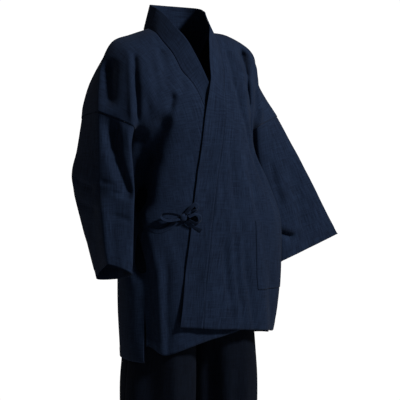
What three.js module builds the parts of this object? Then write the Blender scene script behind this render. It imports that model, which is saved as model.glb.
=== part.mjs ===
// A samue: a wrapped work jacket and straight trousers of one navy slub cotton, hollow and in the shape
// that they hang in when worn. Millimetres, +Z up, the front faces -Y and the wearer's left is +X.
// The origin is on the neck's centre line, level with the points where the collar meets the shoulders.

import * as THREE from 'three';
import { mergeVertices } from 'three/addons/utils/BufferGeometryUtils.js';

// ---- driving sizes ----------------------------------------------------------------------------------
const CLOTH = 1.6; // one layer of cloth
const BAND_CLOTH = 2.8; // the collar band and the waistband are folded double
const SEAM = 0.3; // gap between two pieces along a seam
const BAND_WIDTH = 54; // the collar band, folded
const BAND_CROWN = { rise: 2.4, top: -90, ease: 60 }; // its middle stands out as it follows the chest
const LAP = { lift: 5, past: 50, ease: 42, top: -98, depth: 34 }; // the left front, over the right one
const SQUARENESS = 0.86; // exponent of the trunk's sections, 1 is an ellipse
const CHEST_LEVEL = -290; // below this the fronts and backs hang as a tube
const ARMPIT_LEVEL = -258;
const ARMPIT_RISE = 4; // exponent: how late the chest line rises to the armpit
const ARMPIT_TUCK = 4.5; // how far the trunk is drawn in where the sleeve hangs against it
const ARMPIT_CLEAR = { depth: 2.4, turn: 0.45, spread: 0.2, rows: 2 }; // the sleeve's edge, drawn in there
const SLEEVE_LENGTH = 350; // under the arm, from the armhole to the cuff
const POCKET = { left: 124, right: 236, top: -472, bottom: -640, rise: 6, gap: 1.1 }; // gap behind it
const TIE = { width: 11, thick: 1.6, steps: 12, loopTwist: 58 }; // the twist is in degrees
const KNOT = { x: -78, z: -457, lift: 10, half: [10, 7, 9] }; // its place on the front and half sizes
const VENT = { top: -672, ease: 60, open: 2.4 }; // the side slits: open is in degrees, at the hem
const LEG_SQUARENESS = 0.9; // exponent of the trousers' sections
const LEG_WIDTH = 250; // width of a trouser panel, half of a leg's girth
const WAISTBAND_DEPTH = 34;
const YOKE_CROWN = {
  front: { right: [-4, -5, 6], left: [-2, -5, 6] },
  back: { right: [6, 12, 6], left: [-2, 12, 6] },
}; // how far the middle of each shoulder part is rounded out

// ---- grid fineness ----------------------------------------------------------------------------------
const ARMHOLE_ROWS = 10; // rows from the shoulder fold to the armpit, half of a sleeve's ring
const SKIRT_ROWS = 11; // rows from the chest to the hem
const FRONT_COLUMNS = 11;
const NECK_COLUMNS = 4; // columns of the back that end on the collar
const SLEEVE_ROWS = 10;
const POCKET_ROWS = 8;
const POCKET_COLUMNS = 7;
const LEG_ROWS = 13;
const LEG_COLUMNS = 9;
const BAND_COLUMNS = 2;
const WAISTBAND_ROWS = 2;
const WAISTBAND_COLUMNS = 36;
const KNOT_SEGMENTS = [12, 8];
const WELD = 0.02; // points nearer than this are one

// ---- section tables ---------------------------------------------------------------------------------
// The trunk, level by level: how far it reaches to the wearer's right and left, to the front and to
// the back, and where its widest line lies.
const TRUNK = [
  { z: -100, right: 168, left: 172, front: -122, back: 96, middle: -14 },
  { z: -150, right: 172, left: 176, front: -135, back: 99, middle: -18 },
  { z: -250, right: 173, left: 183, front: -142, back: 97, middle: -23 },
  { z: -290, right: 166, left: 183, front: -143, back: 95, middle: -25 },
  { z: -383, right: 173, left: 224, front: -144, back: 87, middle: -33 },
  { z: -470, right: 181, left: 254, front: -149, back: 80, middle: -42 },
  { z: -570, right: 184, left: 253, front: -154, back: 79, middle: -48 },
  { z: -690, right: 183, left: 240, front: -161, back: 81, middle: -50 },
  { z: -810, right: 177, left: 206, front: -165, back: 80, middle: -52 },
];

// The crossing edges below the collar, at the wearer's right and left: where the band's free edge and
// its seam lie from the middle line, and the angles of the side seams round the trunk from the front.
const WRAP = [
  { z: -100, edgeRight: -9, seamRight: -52, edgeLeft: 9, seamLeft: 59, sideRight: 84, sideLeft: 88 },
  { z: -131, edgeRight: -3, seamRight: -41, edgeLeft: -3, seamLeft: 53, sideRight: 84, sideLeft: 88 },
  { z: -187, edgeRight: 20, seamRight: -19, edgeLeft: -12, seamLeft: 43, sideRight: 84, sideLeft: 88 },
  { z: -290, edgeRight: 62, seamRight: 14, edgeLeft: -28, seamLeft: 27, sideRight: 82, sideLeft: 88 },
  { z: -470, edgeRight: 108, seamRight: 56, edgeLeft: -57, seamLeft: -3, sideRight: 64, sideLeft: 86 },
  { z: -810, edgeRight: 140, seamRight: 86, edgeLeft: -108, seamLeft: -54, sideRight: 62, sideLeft: 84 },
];

// The collar from the nape to where the fronts cross: its free edge and its seam on the wearer's left,
// mirrored for the right.
const COLLAR = [
  { edge: [0, 64, 62], seam: [0, 75, 0] },
  { edge: [43, 56, 61], seam: [56, 63, -1] },
  { edge: [69, 29, 56], seam: [86, 30, -3] },
  { edge: [68, -1, 45], seam: [87, 2, -6] },
  { edge: [60, -20, 31], seam: [83, -28, -20] },
  { edge: [51, -51, 3], seam: [77, -53, -44] },
  { edge: [32, -81, -33], seam: [67, -79, -72] },
  { edge: [19, -104, -73], seam: [58, -106, -112] },
  { edge: [3, -131, -131], seam: [47, -126, -158] },
];
const RIGHT_CROSSING = [-31, -127, -156]; // the seam's last row at the wearer's right
const CROSSING_SHARES = [0.45, 1]; // where the seam and the edge lie on the trunk, between there and the chest
const SEAM_SHARE = 0.88; // the hem's share at the collar's seam
const NECK_POINT_ROW = 3; // row of COLLAR at the shoulder
const COLLAR_TURN = 120; // over this depth the band's wall turns from the neck's direction to the chest's
const COLLAR_LIFT = 0.7; // how far it leans up there
const BACK_SEAM = [[0, 75, 0], [0, 93, -60], [0, 98, -150], [0, 95, CHEST_LEVEL]]; // nape to chest

// The shoulder fold from the collar down the top of the arm to the sleeve's seam.
const FOLD_RIGHT = [
  [-87, 2, -6], [-140, 0, -24], [-190, -5, -44], [-222, -12, -96], [-241, -34, -156], [-253, -57, -212],
];
const FOLD_LEFT = [
  [87, 2, -6], [138, 3, -12], [198, -5, -43], [207, -12, -80], [220, -14, -134], [272, -27, -214],
];

// The sleeves, section by section from the seam to the cuff, by the four corners of each section: the
// fold along the top, the front, the seam under the arm and the back.
const SLEEVE_RIGHT = [
  { fold: [-253, -57, -212], front: [-188, -104, -244], under: null, back: [-243, 50, -226] },
  { fold: [-257, -69, -300], front: [-194, -108, -306], under: [-196, 10, -312], back: [-262, 44, -300] },
  { fold: [-263, -84, -388], front: [-198, -128, -388], under: [-204, -2, -392], back: [-279, 36, -372] },
  { fold: [-264, -100, -486], front: [-204, -136, -486], under: [-204, -34, -500], back: [-262, 4, -500] },
  { fold: [-262, -120, -558], front: [-212, -146, -582], under: [-200, -56, -603], back: [-246, -26, -603] },
];
const SLEEVE_LEFT = [
  { fold: [272, -27, -214], front: [190, -68, -238], under: null, back: [236, 42, -238] },
  { fold: [337, -34, -318], front: [214, -46, -338], under: [228, 2, -352], back: [284, 48, -340] },
  { fold: [384, -38, -396], front: [253, -46, -426], under: [266, 2, -438], back: [322, 40, -424] },
  { fold: [427, -38, -466], front: [274, -50, -502], under: [286, -8, -516], back: [352, 28, -500] },
  { fold: [466, -36, -525], front: [278, -56, -584], under: [294, -18, -590], back: [370, 18, -556] },
];

// The trousers: for each level the middle of a section, how far it reaches to each side of that, the
// front, the back and the widest line. Where the middle is nearer than the reach, it is half of the seat.
const LEG = [
  { z: -392, middle: 0, reach: 140, front: -128, back: 56, centre: -34 },
  { z: -470, middle: 0, reach: 158, front: -132, back: 62, centre: -38 },
  { z: -570, middle: 2, reach: 166, front: -137, back: 66, centre: -42 },
  { z: -625, middle: 14, reach: 155, front: -139, back: 66, centre: -42 },
  { z: -670, middle: 44, reach: 123, front: -140, back: 64, centre: -42 },
  { z: -705, middle: 79, reach: 83, front: -140, back: 60, centre: -42 },
  { z: -735, middle: 83, reach: 80, front: -139, back: 56, centre: -42 },
  { z: -880, middle: 90, reach: 87, front: -138, back: 50, centre: -42 },
  { z: -1000, middle: 91, reach: 84, front: -132, back: 46, centre: -42 },
  { z: -1200, middle: 94, reach: 76, front: -116, back: 42, centre: -38 },
  { z: -1395, middle: 96, reach: 70, front: -102, back: 44, centre: -30 },
];

// The largest folds: soft troughs between two points (ridges where the depth is negative), pushed in
// towards the bearing (degrees from +Y towards +X), with a depth and a half width.
const FOLD_END = { past: 0.15, ease: 0.35 }; // shares of its length over which a fold fades at each end
const FOLDS = [
  { from: [-92, -124, -170], to: [-117, -114, -240], depth: 11, width: 15, bearing: 25 },
  { from: [-112, -116, -226], to: [-152, -92, -325], depth: 19, width: 25, bearing: 35 },
  { from: [-154, -92, -305], to: [-169, -88, -440], depth: 24, width: 30, bearing: 45 },
  { from: [-212, -30, -92], to: [-224, -56, -200], depth: 15, width: 18, bearing: 35 },
  { from: [-228, -66, -225], to: [-230, -90, -310], depth: 14, width: 18, bearing: 35 },
  { from: [-229, -92, -315], to: [-209, -128, -412], depth: 12, width: 16, bearing: 35 },
  { from: [-94, -64, -60], to: [-106, -112, -150], depth: 11, width: 13, bearing: 5 },
  { from: [-172, -50, -70], to: [-188, -102, -235], depth: -6, width: 11, bearing: 25 },
  { from: [-166, -60, -84], to: [-178, -101, -235], depth: 10, width: 11, bearing: 20 },
  { from: [-280, 30, -385], to: [-215, -120, -405], depth: 5, width: 14, bearing: 60 },
  { from: [150, -45, -62], to: [136, -98, -160], depth: 13, width: 13, bearing: -10 },
  { from: [136, -98, -150], to: [152, -100, -255], depth: 10, width: 13, bearing: -15 },
  { from: [188, -45, -110], to: [187, -68, -226], depth: -6, width: 12, bearing: -20 },
  { from: [96, -62, -60], to: [82, -114, -140], depth: 5, width: 13, bearing: 0 },
  { from: [170, -90, -290], to: [212, -100, -440], depth: 8, width: 20, bearing: -40 },
  { from: [34, -148, -520], to: [30, -154, -650], depth: 6, width: 20, bearing: 0 },
  { from: [300, -50, -330], to: [356, -52, -520], depth: 7, width: 16, bearing: -5 },
  { from: [-120, 80, -160], to: [-70, 96, -420], depth: 8, width: 26, bearing: 180 },
  { from: [120, 80, -150], to: [84, 92, -460], depth: 9, width: 28, bearing: 180 },
  { from: [-20, 92, -470], to: [-60, 82, -760], depth: 7, width: 30, bearing: 180 },
];

// The ties' places on the fronts: distance from the middle line, level, and lift off the right front.
const TIES = {
  tie_side: [[-157, -471, 1.7], [-146, -484, 2.3], [-132, -489, 2.6], [-112, -481, 4], [-88.3, -464, 7.5]],
  tie_outer: [[-44, -440, 7.6], [-54, -444, 7.6], [-69, -452, 9.5]],
  bow_loop_right: [
    [-68, -455, 15], [-52, -449, 16], [-38, -453, 16],
    [-37, -464, 16], [-50, -472, 15.2], [-67.6, -463.6, 14.2],
  ],
  bow_loop_upper: [
    [-74, -448.6, 14], [-62, -434, 17], [-50, -424, 18],
    [-43, -429, 19], [-48, -440, 19], [-60, -443, 19],
  ],
  bow_loop_left: [
    [-86.4, -453, 14.5], [-106, -446, 15], [-123, -448, 14.5],
    [-125, -458, 14], [-112, -465, 14], [-87, -460, 13.6],
  ],
  bow_tail: [[-73, -466.6, 7], [-56, -480, 7.8], [-34, -489, 8.6]],
  tie_under: [[-160, -492, 1.8], [-162, -508, 2.0], [-159, -532, 2.2]],
};

// ---- small helpers ----------------------------------------------------------------------------------
const mix = (a, b, t) => a.map((value, i) => value + (b[i] - value) * t);
const lerp = THREE.MathUtils.lerp;
const ease = (t) => THREE.MathUtils.smoothstep(t, 0, 1);
const radians = THREE.MathUtils.degToRad;
const power = (value, exponent) => Math.sign(value) * Math.abs(value) ** exponent;

// Cubic between two values with their slopes, s from 0 to 1.
function hermite(a, b, slopeA, slopeB, s) {
  const rise = ease(s);
  return lerp(a, b, rise) + (s ** 3 - 2 * s ** 2 + s) * slopeA + (s ** 3 - s ** 2) * slopeB;
}

// Point on the smooth curve through a list of points, t from 0 to 1 (Catmull-Rom, one-sided ends).
function through(points, t) {
  const spans = points.length - 1;
  const at = Math.min(Math.max(t, 0), 1) * spans;
  const k = Math.min(Math.floor(at), spans - 1);
  const s = at - k;
  const slope = (i) => {
    const before = points[Math.max(i - 1, 0)];
    const after = points[Math.min(i + 1, spans)];
    const share = i === 0 || i === spans ? 1 : 0.5;
    return after.map((value, axis) => (value - before[axis]) * share);
  };
  const [slopeA, slopeB] = [slope(k), slope(k + 1)];
  return points[k].map((value, i) => hermite(value, points[k + 1][i], slopeA[i], slopeB[i], s));
}

// One column of a table at level z, eased by the slopes of its neighbours (cubic Hermite).
function column(table, name, z) {
  const last = table.length - 1;
  const clamped = Math.min(Math.max(z, table[last].z), table[0].z);
  let k = 0;
  while (k < last - 1 && clamped < table[k + 1].z) k += 1;
  const slope = (i) => {
    const [before, after] = [table[Math.max(i - 1, 0)], table[Math.min(i + 1, last)]];
    return (after[name] - before[name]) / (after.z - before.z);
  };
  const [upper, lower] = [table[k], table[k + 1]];
  const span = lower.z - upper.z;
  return hermite(upper[name], lower[name], slope(k) * span, slope(k + 1) * span, (clamped - upper.z) / span);
}

// ---- the trunk --------------------------------------------------------------------------------------
// How deep the trunk is before or behind its widest line.
function trunkDepth(before, middle, z) {
  return before ? middle - column(TRUNK, 'front', z) : column(TRUNK, 'back', z) - middle;
}

// Point of the trunk at level z, at an angle round it: 0 in front, +90 degrees at the wearer's left.
function trunk(angle, z) {
  const middle = column(TRUNK, 'middle', z);
  const reach = column(TRUNK, angle < 0 ? 'right' : 'left', z);
  const depth = trunkDepth(Math.cos(angle) > 0, middle, z);
  const x = reach * power(Math.sin(angle), SQUARENESS);
  return [x, middle - depth * power(Math.cos(angle), SQUARENESS), z];
}

// Angle of the trunk's front at which it lies x from the middle line.
function angleAt(x, z) {
  const reach = column(TRUNK, x < 0 ? 'right' : 'left', z);
  return Math.asin(power(Math.min(Math.abs(x) / reach, 1), 1 / SQUARENESS)) * Math.sign(x);
}

// Unit vector straight out of the trunk at a point, level.
function outward(point) {
  const z = point[2];
  const middle = column(TRUNK, 'middle', z);
  const reach = column(TRUNK, point[0] < 0 ? 'right' : 'left', z);
  const depth = trunkDepth(point[1] < middle, middle, z);
  const x = point[0] / reach ** 2;
  const y = (point[1] - middle) / depth ** 2;
  const size = Math.hypot(x, y);
  return [x / size, y / size, 0];
}

// The left front stands out over the right front as far as the right one's free edge reaches.
function lapOver(point) {
  const edge = column(WRAP, 'edgeRight', point[2]);
  const near = ease((edge + LAP.past - point[0]) / LAP.ease);
  const below = ease((LAP.top - point[2]) / LAP.depth);
  return LAP.lift * near * below;
}

// Every point of the jacket passes here: the folds push it in, and the left front is lifted.
function hang(point, lapped) {
  let [x, y, z] = point;
  for (const fold of FOLDS) {
    const along = new THREE.Vector3(...fold.to).sub(new THREE.Vector3(...fold.from));
    const rel = new THREE.Vector3(x, y, z).sub(new THREE.Vector3(...fold.from));
    const share = rel.dot(along) / along.lengthSq();
    const gap = rel.addScaledVector(along, -share).length();
    const start = ease((share + FOLD_END.past) / FOLD_END.ease);
    const end = ease((1 + FOLD_END.past - share) / FOLD_END.ease);
    const push = fold.depth * start * end * Math.exp(-((gap / fold.width) ** 2));
    x += push * Math.sin(radians(fold.bearing));
    y += push * Math.cos(radians(fold.bearing));
  }
  if (lapped) {
    const lift = lapOver(point);
    const out = outward(point);
    x += out[0] * lift;
    y += out[1] * lift;
  }
  return [x, y, z];
}

// ---- seams and edges shared by the pieces -----------------------------------------------------------
const sideName = (side) => (side < 0 ? 'Right' : 'Left');
const mirrored = (point, side) => [point[0] * side, point[1], point[2]];

// Level of the hem at a share of the front's width from the side seam (0) to the band's edge (1), and how
// far its corner beside the slit is drawn up.
const CURL_START = 0.7; // share of the front's width where that begins
const CURL_DEPTH = 110; // and over which height
const HEM = {
  frontRight: { side: -798, edge: -722, curl: 38 },
  frontLeft: { side: -764, edge: -712, curl: 14 },
  back: { right: -798, middle: -797, left: -764 },
};

function frontHem(side, share) {
  const hem = side < 0 ? HEM.frontRight : HEM.frontLeft;
  return lerp(hem.side, hem.edge, share);
}

// The collar's seam (or its free edge) from the neck point down to the chest, t from 0 to 1.
function neckline(side, which, t) {
  const name = sideName(side);
  const upper = COLLAR.slice(NECK_POINT_ROW).map((row) => mirrored(row[which], side));
  const crossing = COLLAR[COLLAR.length - 1].seam[2];
  if (side < 0 && which === 'seam') upper[upper.length - 1] = RIGHT_CROSSING;
  const lower = CROSSING_SHARES.map((share) => {
    const z = lerp(crossing, CHEST_LEVEL, share);
    return trunk(angleAt(column(WRAP, which + name, z), z), z);
  });
  return through([...upper, ...lower], t);
}

// The same lines below the chest, t from 0 at the chest to 1 at the hem.
function wrapLine(side, which, t) {
  const z = lerp(CHEST_LEVEL, frontHem(side, which === 'edge' ? 1 : SEAM_SHARE), t);
  return trunk(angleAt(column(WRAP, which + sideName(side), z), z), z);
}

function sideAngle(side, z) {
  return radians(column(WRAP, 'side' + sideName(side), z)) * side;
}

const armpit = (side) => trunk(sideAngle(side, ARMPIT_LEVEL), ARMPIT_LEVEL);

// ---- the sleeves ------------------------------------------------------------------------------------
const SHARP = 0.66; // how sharply the fold and the under seam are creased, 0 is round
const SOFT = 0.05;

function sleeveCorners(side, t) {
  const rows = side < 0 ? SLEEVE_RIGHT : SLEEVE_LEFT;
  const corner = (name) => through(rows.map((row) => row[name] ?? armpit(side)), t);
  return [corner('fold'), corner('front'), corner('under'), corner('back')];
}

// Point of a sleeve's ring: turn 0 on the fold, 0.25 in front, 0.5 at the under seam, 0.75 behind.
function sleevePoint(side, t, turn) {
  const corners = sleeveCorners(side, t);
  const count = corners.length;
  const at = THREE.MathUtils.euclideanModulo(turn, 1) * count;
  const k = Math.min(Math.floor(at), count - 1);
  const after = (k + 1) % count;
  const slope = (i) => {
    const keep = (1 - (i % 2 === 0 ? SHARP : SOFT)) / 2;
    const before = corners[(i + count - 1) % count];
    return corners[(i + 1) % count].map((value, axis) => (value - before[axis]) * keep);
  };
  const [slopeA, slopeB] = [slope(k), slope(after)];
  return corners[k].map((value, i) => hermite(value, corners[after][i], slopeA[i], slopeB[i], at - k));
}

// Direction out of the armhole's ring at one of its points, for the walls that are cut on it.
function armholeOut(side, point) {
  const corners = sleeveCorners(side, 0);
  const centre = corners[0].map((_, axis) => corners.reduce((sum, corner) => sum + corner[axis], 0) / 4);
  return point.map((value, i) => value - centre[i]);
}

// The same for the body's edge: it turns to the body's own direction down to the armpit, where the
// sleeve hangs against the side.
function armholeLean(side, point, t) {
  const out = new THREE.Vector3(...armholeOut(side, point)).normalize();
  return out.lerp(new THREE.Vector3(...outward(point)), ease(2 * t - 1)).toArray();
}

// Direction out of the collar's seam: up and out round the neck, straight out lower down.
function collarOut(point) {
  const near = ease((point[2] + COLLAR_TURN) / COLLAR_TURN);
  const neck = new THREE.Vector3(point[0], point[1], 0).normalize();
  const out = new THREE.Vector3(...outward(point)).lerp(neck, near).normalize();
  const lift = COLLAR_LIFT * near;
  return [out.x * (1 - lift), out.y * (1 - lift), lift];
}

// ---- the body's two halves --------------------------------------------------------------------------
// A patch spanned between four edges (Coons), with a crown that rounds its middle.
function patch(u, v, { top, bottom, inner, outer, crown }) {
  const corner = (p, q) => mix(mix(top(0), top(1), p), mix(bottom(0), bottom(1), p), q);
  const level = mix(top(u), bottom(u), v);
  const upright = mix(inner(v), outer(v), u);
  const flat = corner(u, v);
  const rise = 16 * u * (1 - u) * v * (1 - v);
  return level.map((value, i) => value + upright[i] - flat[i] + crown[i] * rise);
}

const shoulderFold = (side, t) => through(side < 0 ? FOLD_RIGHT : FOLD_LEFT, t);

// The trunk is tucked in a little just in front of the armpit, where the sleeve hangs against it. The
// bell t^4 (1 - t) is highest at t = 0.8 and is brought to 1 there.
const TUCK_SCALE = 12.2;
function tucked(point, t, share) {
  const pull = ARMPIT_TUCK * TUCK_SCALE * t ** 4 * (1 - t) * ease(1 - share);
  const out = outward(point);
  return [point[0] - out[0] * pull, point[1] - out[1] * pull, point[2]];
}

// Level of the line round the chest, which rises to the armpit at its end.
const chestLevel = (t) => lerp(CHEST_LEVEL, ARMPIT_LEVEL, t ** ARMPIT_RISE);

// Line round the chest in front, from the collar's seam (0) to the armpit (1).
function chestFront(side, t) {
  const z = chestLevel(t);
  const start = angleAt(column(WRAP, 'seam' + sideName(side), CHEST_LEVEL), CHEST_LEVEL);
  return tucked(trunk(lerp(start, sideAngle(side, ARMPIT_LEVEL), t), z), t, 0);
}

function chestBack(side, t) {
  const z = chestLevel(t);
  return trunk(lerp(Math.PI * side, sideAngle(side, ARMPIT_LEVEL), t), z);
}

function frontPoint(side, u, row) {
  if (row <= ARMHOLE_ROWS) {
    return patch(u, row / ARMHOLE_ROWS, {
      top: (t) => shoulderFold(side, t),
      bottom: (t) => chestFront(side, t),
      inner: (t) => neckline(side, 'seam', t),
      outer: (t) => sleevePoint(side, 0, t / 2),
      crown: YOKE_CROWN.front[side < 0 ? 'right' : 'left'],
    });
  }
  const share = (row - ARMHOLE_ROWS) / SKIRT_ROWS;
  const from = chestLevel(u);
  const level = lerp(from, frontHem(side, (1 - u) * SEAM_SHARE), share);
  const z = level + hemCurl(side, u, level);
  const start = angleAt(column(WRAP, 'seam' + sideName(side), z), z);
  return tucked(trunk(lerp(start, sideAngle(side, z) - slit(side, z), u), z), u, share * 4);
}

// How far a front's lower corner is drawn up beside the slit.
function hemCurl(side, u, z) {
  const curl = side < 0 ? HEM.frontRight.curl : HEM.frontLeft.curl;
  return curl * ease((u - CURL_START) / (1 - CURL_START)) * ease((VENT.top - z) / CURL_DEPTH);
}

// Half the angle by which the side slit is open at a level.
function slit(side, z) {
  return side * radians(VENT.open / 2) * ease((VENT.top - z) / VENT.ease);
}

// Along the back's top edge: round the neck from the nape, then out along the shoulder fold.
const BACK_COLUMNS = NECK_COLUMNS + FRONT_COLUMNS;
const NECK_SHARE = NECK_COLUMNS / BACK_COLUMNS;

function napeSeam(side, t) {
  const rows = COLLAR.slice(0, NECK_POINT_ROW + 1).map((row) => mirrored(row.seam, side));
  return through(rows, t);
}

function backTop(side, u) {
  if (u < NECK_SHARE) return napeSeam(side, u / NECK_SHARE);
  return shoulderFold(side, (u - NECK_SHARE) / (1 - NECK_SHARE));
}

function backPoint(side, u, row) {
  if (row <= ARMHOLE_ROWS) {
    return patch(u, row / ARMHOLE_ROWS, {
      top: (t) => backTop(side, t),
      bottom: (t) => chestBack(side, t),
      inner: (t) => through(BACK_SEAM, t),
      outer: (t) => sleevePoint(side, 0, -t / 2),
      crown: YOKE_CROWN.back[side < 0 ? 'right' : 'left'],
    });
  }
  const share = (row - ARMHOLE_ROWS) / SKIRT_ROWS;
  const from = chestLevel(u);
  const hem = lerp(HEM.back.middle, side < 0 ? HEM.back.right : HEM.back.left, u);
  const z = lerp(from, hem, share);
  return trunk(lerp(Math.PI * side, sideAngle(side, z) + slit(side, z), u), z);
}

// ---- from grids to closed walls ---------------------------------------------------------------------
// A net is a list of points and triangles. Grids that share an edge are welded where points coincide.
function net() {
  return { points: [], triangles: [], index: new Map(), leans: new Map() };
}

function vertex(mesh, point) {
  const key = point.map((value) => Math.round(value / WELD)).join(',');
  if (!mesh.index.has(key)) {
    mesh.index.set(key, mesh.points.length);
    mesh.points.push(point);
  }
  return mesh.index.get(key);
}

// Adds a grid of columns by rows to a net, at(u, row) giving its points with u from 0 to 1. Where lean
// gives a direction, the wall is cut along it there, so that two pieces meet face to face at a seam.
function addGrid(mesh, columns, lastRow, at, flipped, lean = () => null) {
  const ids = [];
  for (let row = 0; row <= lastRow; row += 1) {
    ids.push(Array.from({ length: columns + 1 }, (_, i) => {
      const id = vertex(mesh, at(i / columns, row));
      const cut = lean(i / columns, row, mesh.points[id]);
      if (cut) mesh.leans.set(id, new THREE.Vector3(...cut).normalize());
      return id;
    }));
  }
  for (let r = 0; r + 1 < ids.length; r += 1) {
    for (let c = 0; c < columns; c += 1) {
      const [a, b, d, e] = [ids[r][c], ids[r][c + 1], ids[r + 1][c + 1], ids[r + 1][c]];
      const pair = [[a, e, d], [a, d, b]];
      for (const [p, q, s] of pair) {
        if (p !== q && q !== s && p !== s) mesh.triangles.push(flipped ? [p, s, q] : [p, q, s]);
      }
    }
  }
}

// The outward direction at each point: its faces' directions, each weighed by its angle there.
function normals(points, triangles) {
  const sums = points.map(() => new THREE.Vector3());
  for (const triangle of triangles) {
    const corners = triangle.map((i) => new THREE.Vector3(...points[i]));
    const face = new THREE.Triangle(...corners).getNormal(new THREE.Vector3());
    triangle.forEach((id, i) => {
      const ahead = corners[(i + 1) % 3].clone().sub(corners[i]);
      const behind = corners[(i + 2) % 3].clone().sub(corners[i]);
      sums[id].addScaledVector(face, ahead.angleTo(behind));
    });
  }
  return sums.map((sum) => sum.normalize());
}

// Gives a net its thickness, inwards from its outer face, and closes it along its open edges.
function wall(mesh, thickness) {
  const { points, triangles } = mesh;
  const count = points.length;
  const normal = normals(points, triangles);
  for (const [id, lean] of mesh.leans) normal[id] = lean;
  const inner = points.map((point, i) => {
    return point.map((value, axis) => value - normal[i].getComponent(axis) * thickness);
  });
  const faces = [...triangles, ...triangles.map(([a, b, c]) => [a + count, c + count, b + count])];
  const edges = new Map();
  for (const [a, b, c] of triangles) {
    for (const [p, q] of [[a, b], [b, c], [c, a]]) edges.set(`${p},${q}`, [p, q]);
  }
  for (const [p, q] of edges.values()) {
    if (edges.has(`${q},${p}`)) continue;
    faces.push([q, p, p + count], [q, p + count, q + count]);
  }
  const geometry = new THREE.BufferGeometry();
  geometry.setAttribute('position', new THREE.Float32BufferAttribute([...points, ...inner].flat(), 3));
  geometry.setIndex(faces.flat());
  geometry.computeVertexNormals();
  return geometry;
}

// ---- materials and pieces ---------------------------------------------------------------------------
const NAVY = 0x1b2638;
const group = new THREE.Group();

function piece(name, geometry, colour = NAVY) {
  const material = new THREE.MeshStandardMaterial({ color: colour, roughness: 0.92, metalness: 0 });
  const mesh = new THREE.Mesh(geometry, material);
  mesh.name = name;
  group.add(mesh);
}

// Keeps a point of one side's piece half a seam away from the middle.
const offMiddle = (side, [x, y, z]) => [side * Math.max(x * side, SEAM / 2), y, z];

// Draws a grid's first and last columns in, so that sewn pieces don't touch.
const inset = (u, width, first, last) => lerp(first / width, 1 - last / width, u);

function body(side) {
  const mesh = net();
  const rows = ARMHOLE_ROWS + SKIRT_ROWS;
  const lapped = side > 0;
  const front = (u, row) => hang(frontPoint(side, u, row), lapped);
  const back = (u, row) => offMiddle(side, hang(backPoint(side, u, row), false));
  const frontLean = (u, row, point) => {
    if (u === 1 && row <= ARMHOLE_ROWS) return armholeLean(side, point, row / ARMHOLE_ROWS);
    return u === 0 ? collarOut(point) : null;
  };
  const backLean = (u, row, point) => {
    if (u === 1 && row <= ARMHOLE_ROWS) return armholeLean(side, point, row / ARMHOLE_ROWS);
    if (row === 0 && u <= NECK_SHARE + 1e-6) return collarOut(point);
    return u === 0 ? [0, 1, 0] : null;
  };
  addGrid(mesh, FRONT_COLUMNS, rows, front, side < 0, frontLean);
  addGrid(mesh, BACK_COLUMNS, rows, back, side > 0, backLean);
  piece(side < 0 ? 'body_right' : 'body_left', wall(mesh, CLOTH));
}

function sleeve(side) {
  const mesh = net();
  const ring = ARMHOLE_ROWS * 2;
  const start = SEAM / SLEEVE_LENGTH;
  const at = (u, row) => {
    const point = sleevePoint(side, lerp(start, 1, row / SLEEVE_ROWS), u % 1);
    const near = ease(1 - Math.abs((u % 1) - ARMPIT_CLEAR.turn) / ARMPIT_CLEAR.spread);
    const clear = ARMPIT_CLEAR.depth * near * ease(1 - row / ARMPIT_CLEAR.rows);
    const out = new THREE.Vector3(...armholeOut(side, point)).normalize();
    return hang(point.map((value, i) => value - out.getComponent(i) * clear), false);
  };
  const lean = (u, row, point) => (row === 0 ? armholeOut(side, point) : null);
  addGrid(mesh, ring, SLEEVE_ROWS, at, side > 0, lean);
  piece(side < 0 ? 'sleeve_right' : 'sleeve_left', wall(mesh, CLOTH));
}

// The collar band runs from the right hem round the neck to the left hem, its rows on the body's rows.
function collarBand() {
  const stations = [];
  const down = ARMHOLE_ROWS + SKIRT_ROWS;
  const lineAt = (side, which, row) => {
    if (row <= ARMHOLE_ROWS) return neckline(side, which, row / ARMHOLE_ROWS);
    return wrapLine(side, which, (row - ARMHOLE_ROWS) / SKIRT_ROWS);
  };
  const nape = (side, which, k) => {
    const rows = COLLAR.slice(0, NECK_POINT_ROW + 1).map((row) => mirrored(row[which], side));
    return through(rows, k / NECK_COLUMNS);
  };
  const pair = (side, place, at) => {
    const lapped = side > 0;
    stations.push(['edge', 'seam'].map((which) => hang(place(side, which, at), lapped)));
  };
  for (let row = down; row >= 0; row -= 1) pair(-1, lineAt, row);
  for (let k = NECK_COLUMNS - 1; k >= 0; k -= 1) pair(-1, nape, k);
  for (let k = 1; k < NECK_COLUMNS; k += 1) pair(1, nape, k);
  for (let row = 0; row <= down; row += 1) pair(1, lineAt, row);
  const mesh = net();
  const at = (u, row) => {
    const point = mix(stations[row][0], stations[row][1], inset(u, BAND_WIDTH, 0, SEAM));
    const crown = BAND_CROWN.rise * ease((BAND_CROWN.top - point[2]) / BAND_CROWN.ease) * 4 * u * (1 - u);
    const out = outward(point);
    return [point[0] + out[0] * crown, point[1] + out[1] * crown, point[2]];
  };
  const lean = (u, row, point) => (u === 1 ? collarOut(point) : null);
  addGrid(mesh, BAND_COLUMNS, stations.length - 1, at, false, lean);
  piece('collar_band', wall(mesh, BAND_CLOTH));
}

// ---- what lies on the fronts ------------------------------------------------------------------------
// Point lifted off the fronts' outer face; lapped is the left front, which may lie over the right.
function onFront(x, z, lift, lapped) {
  const base = trunk(angleAt(x, z), z);
  const point = hang(base, lapped);
  const out = outward(base);
  return [point[0] + out[0] * lift, point[1] + out[1] * lift, z];
}

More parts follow.
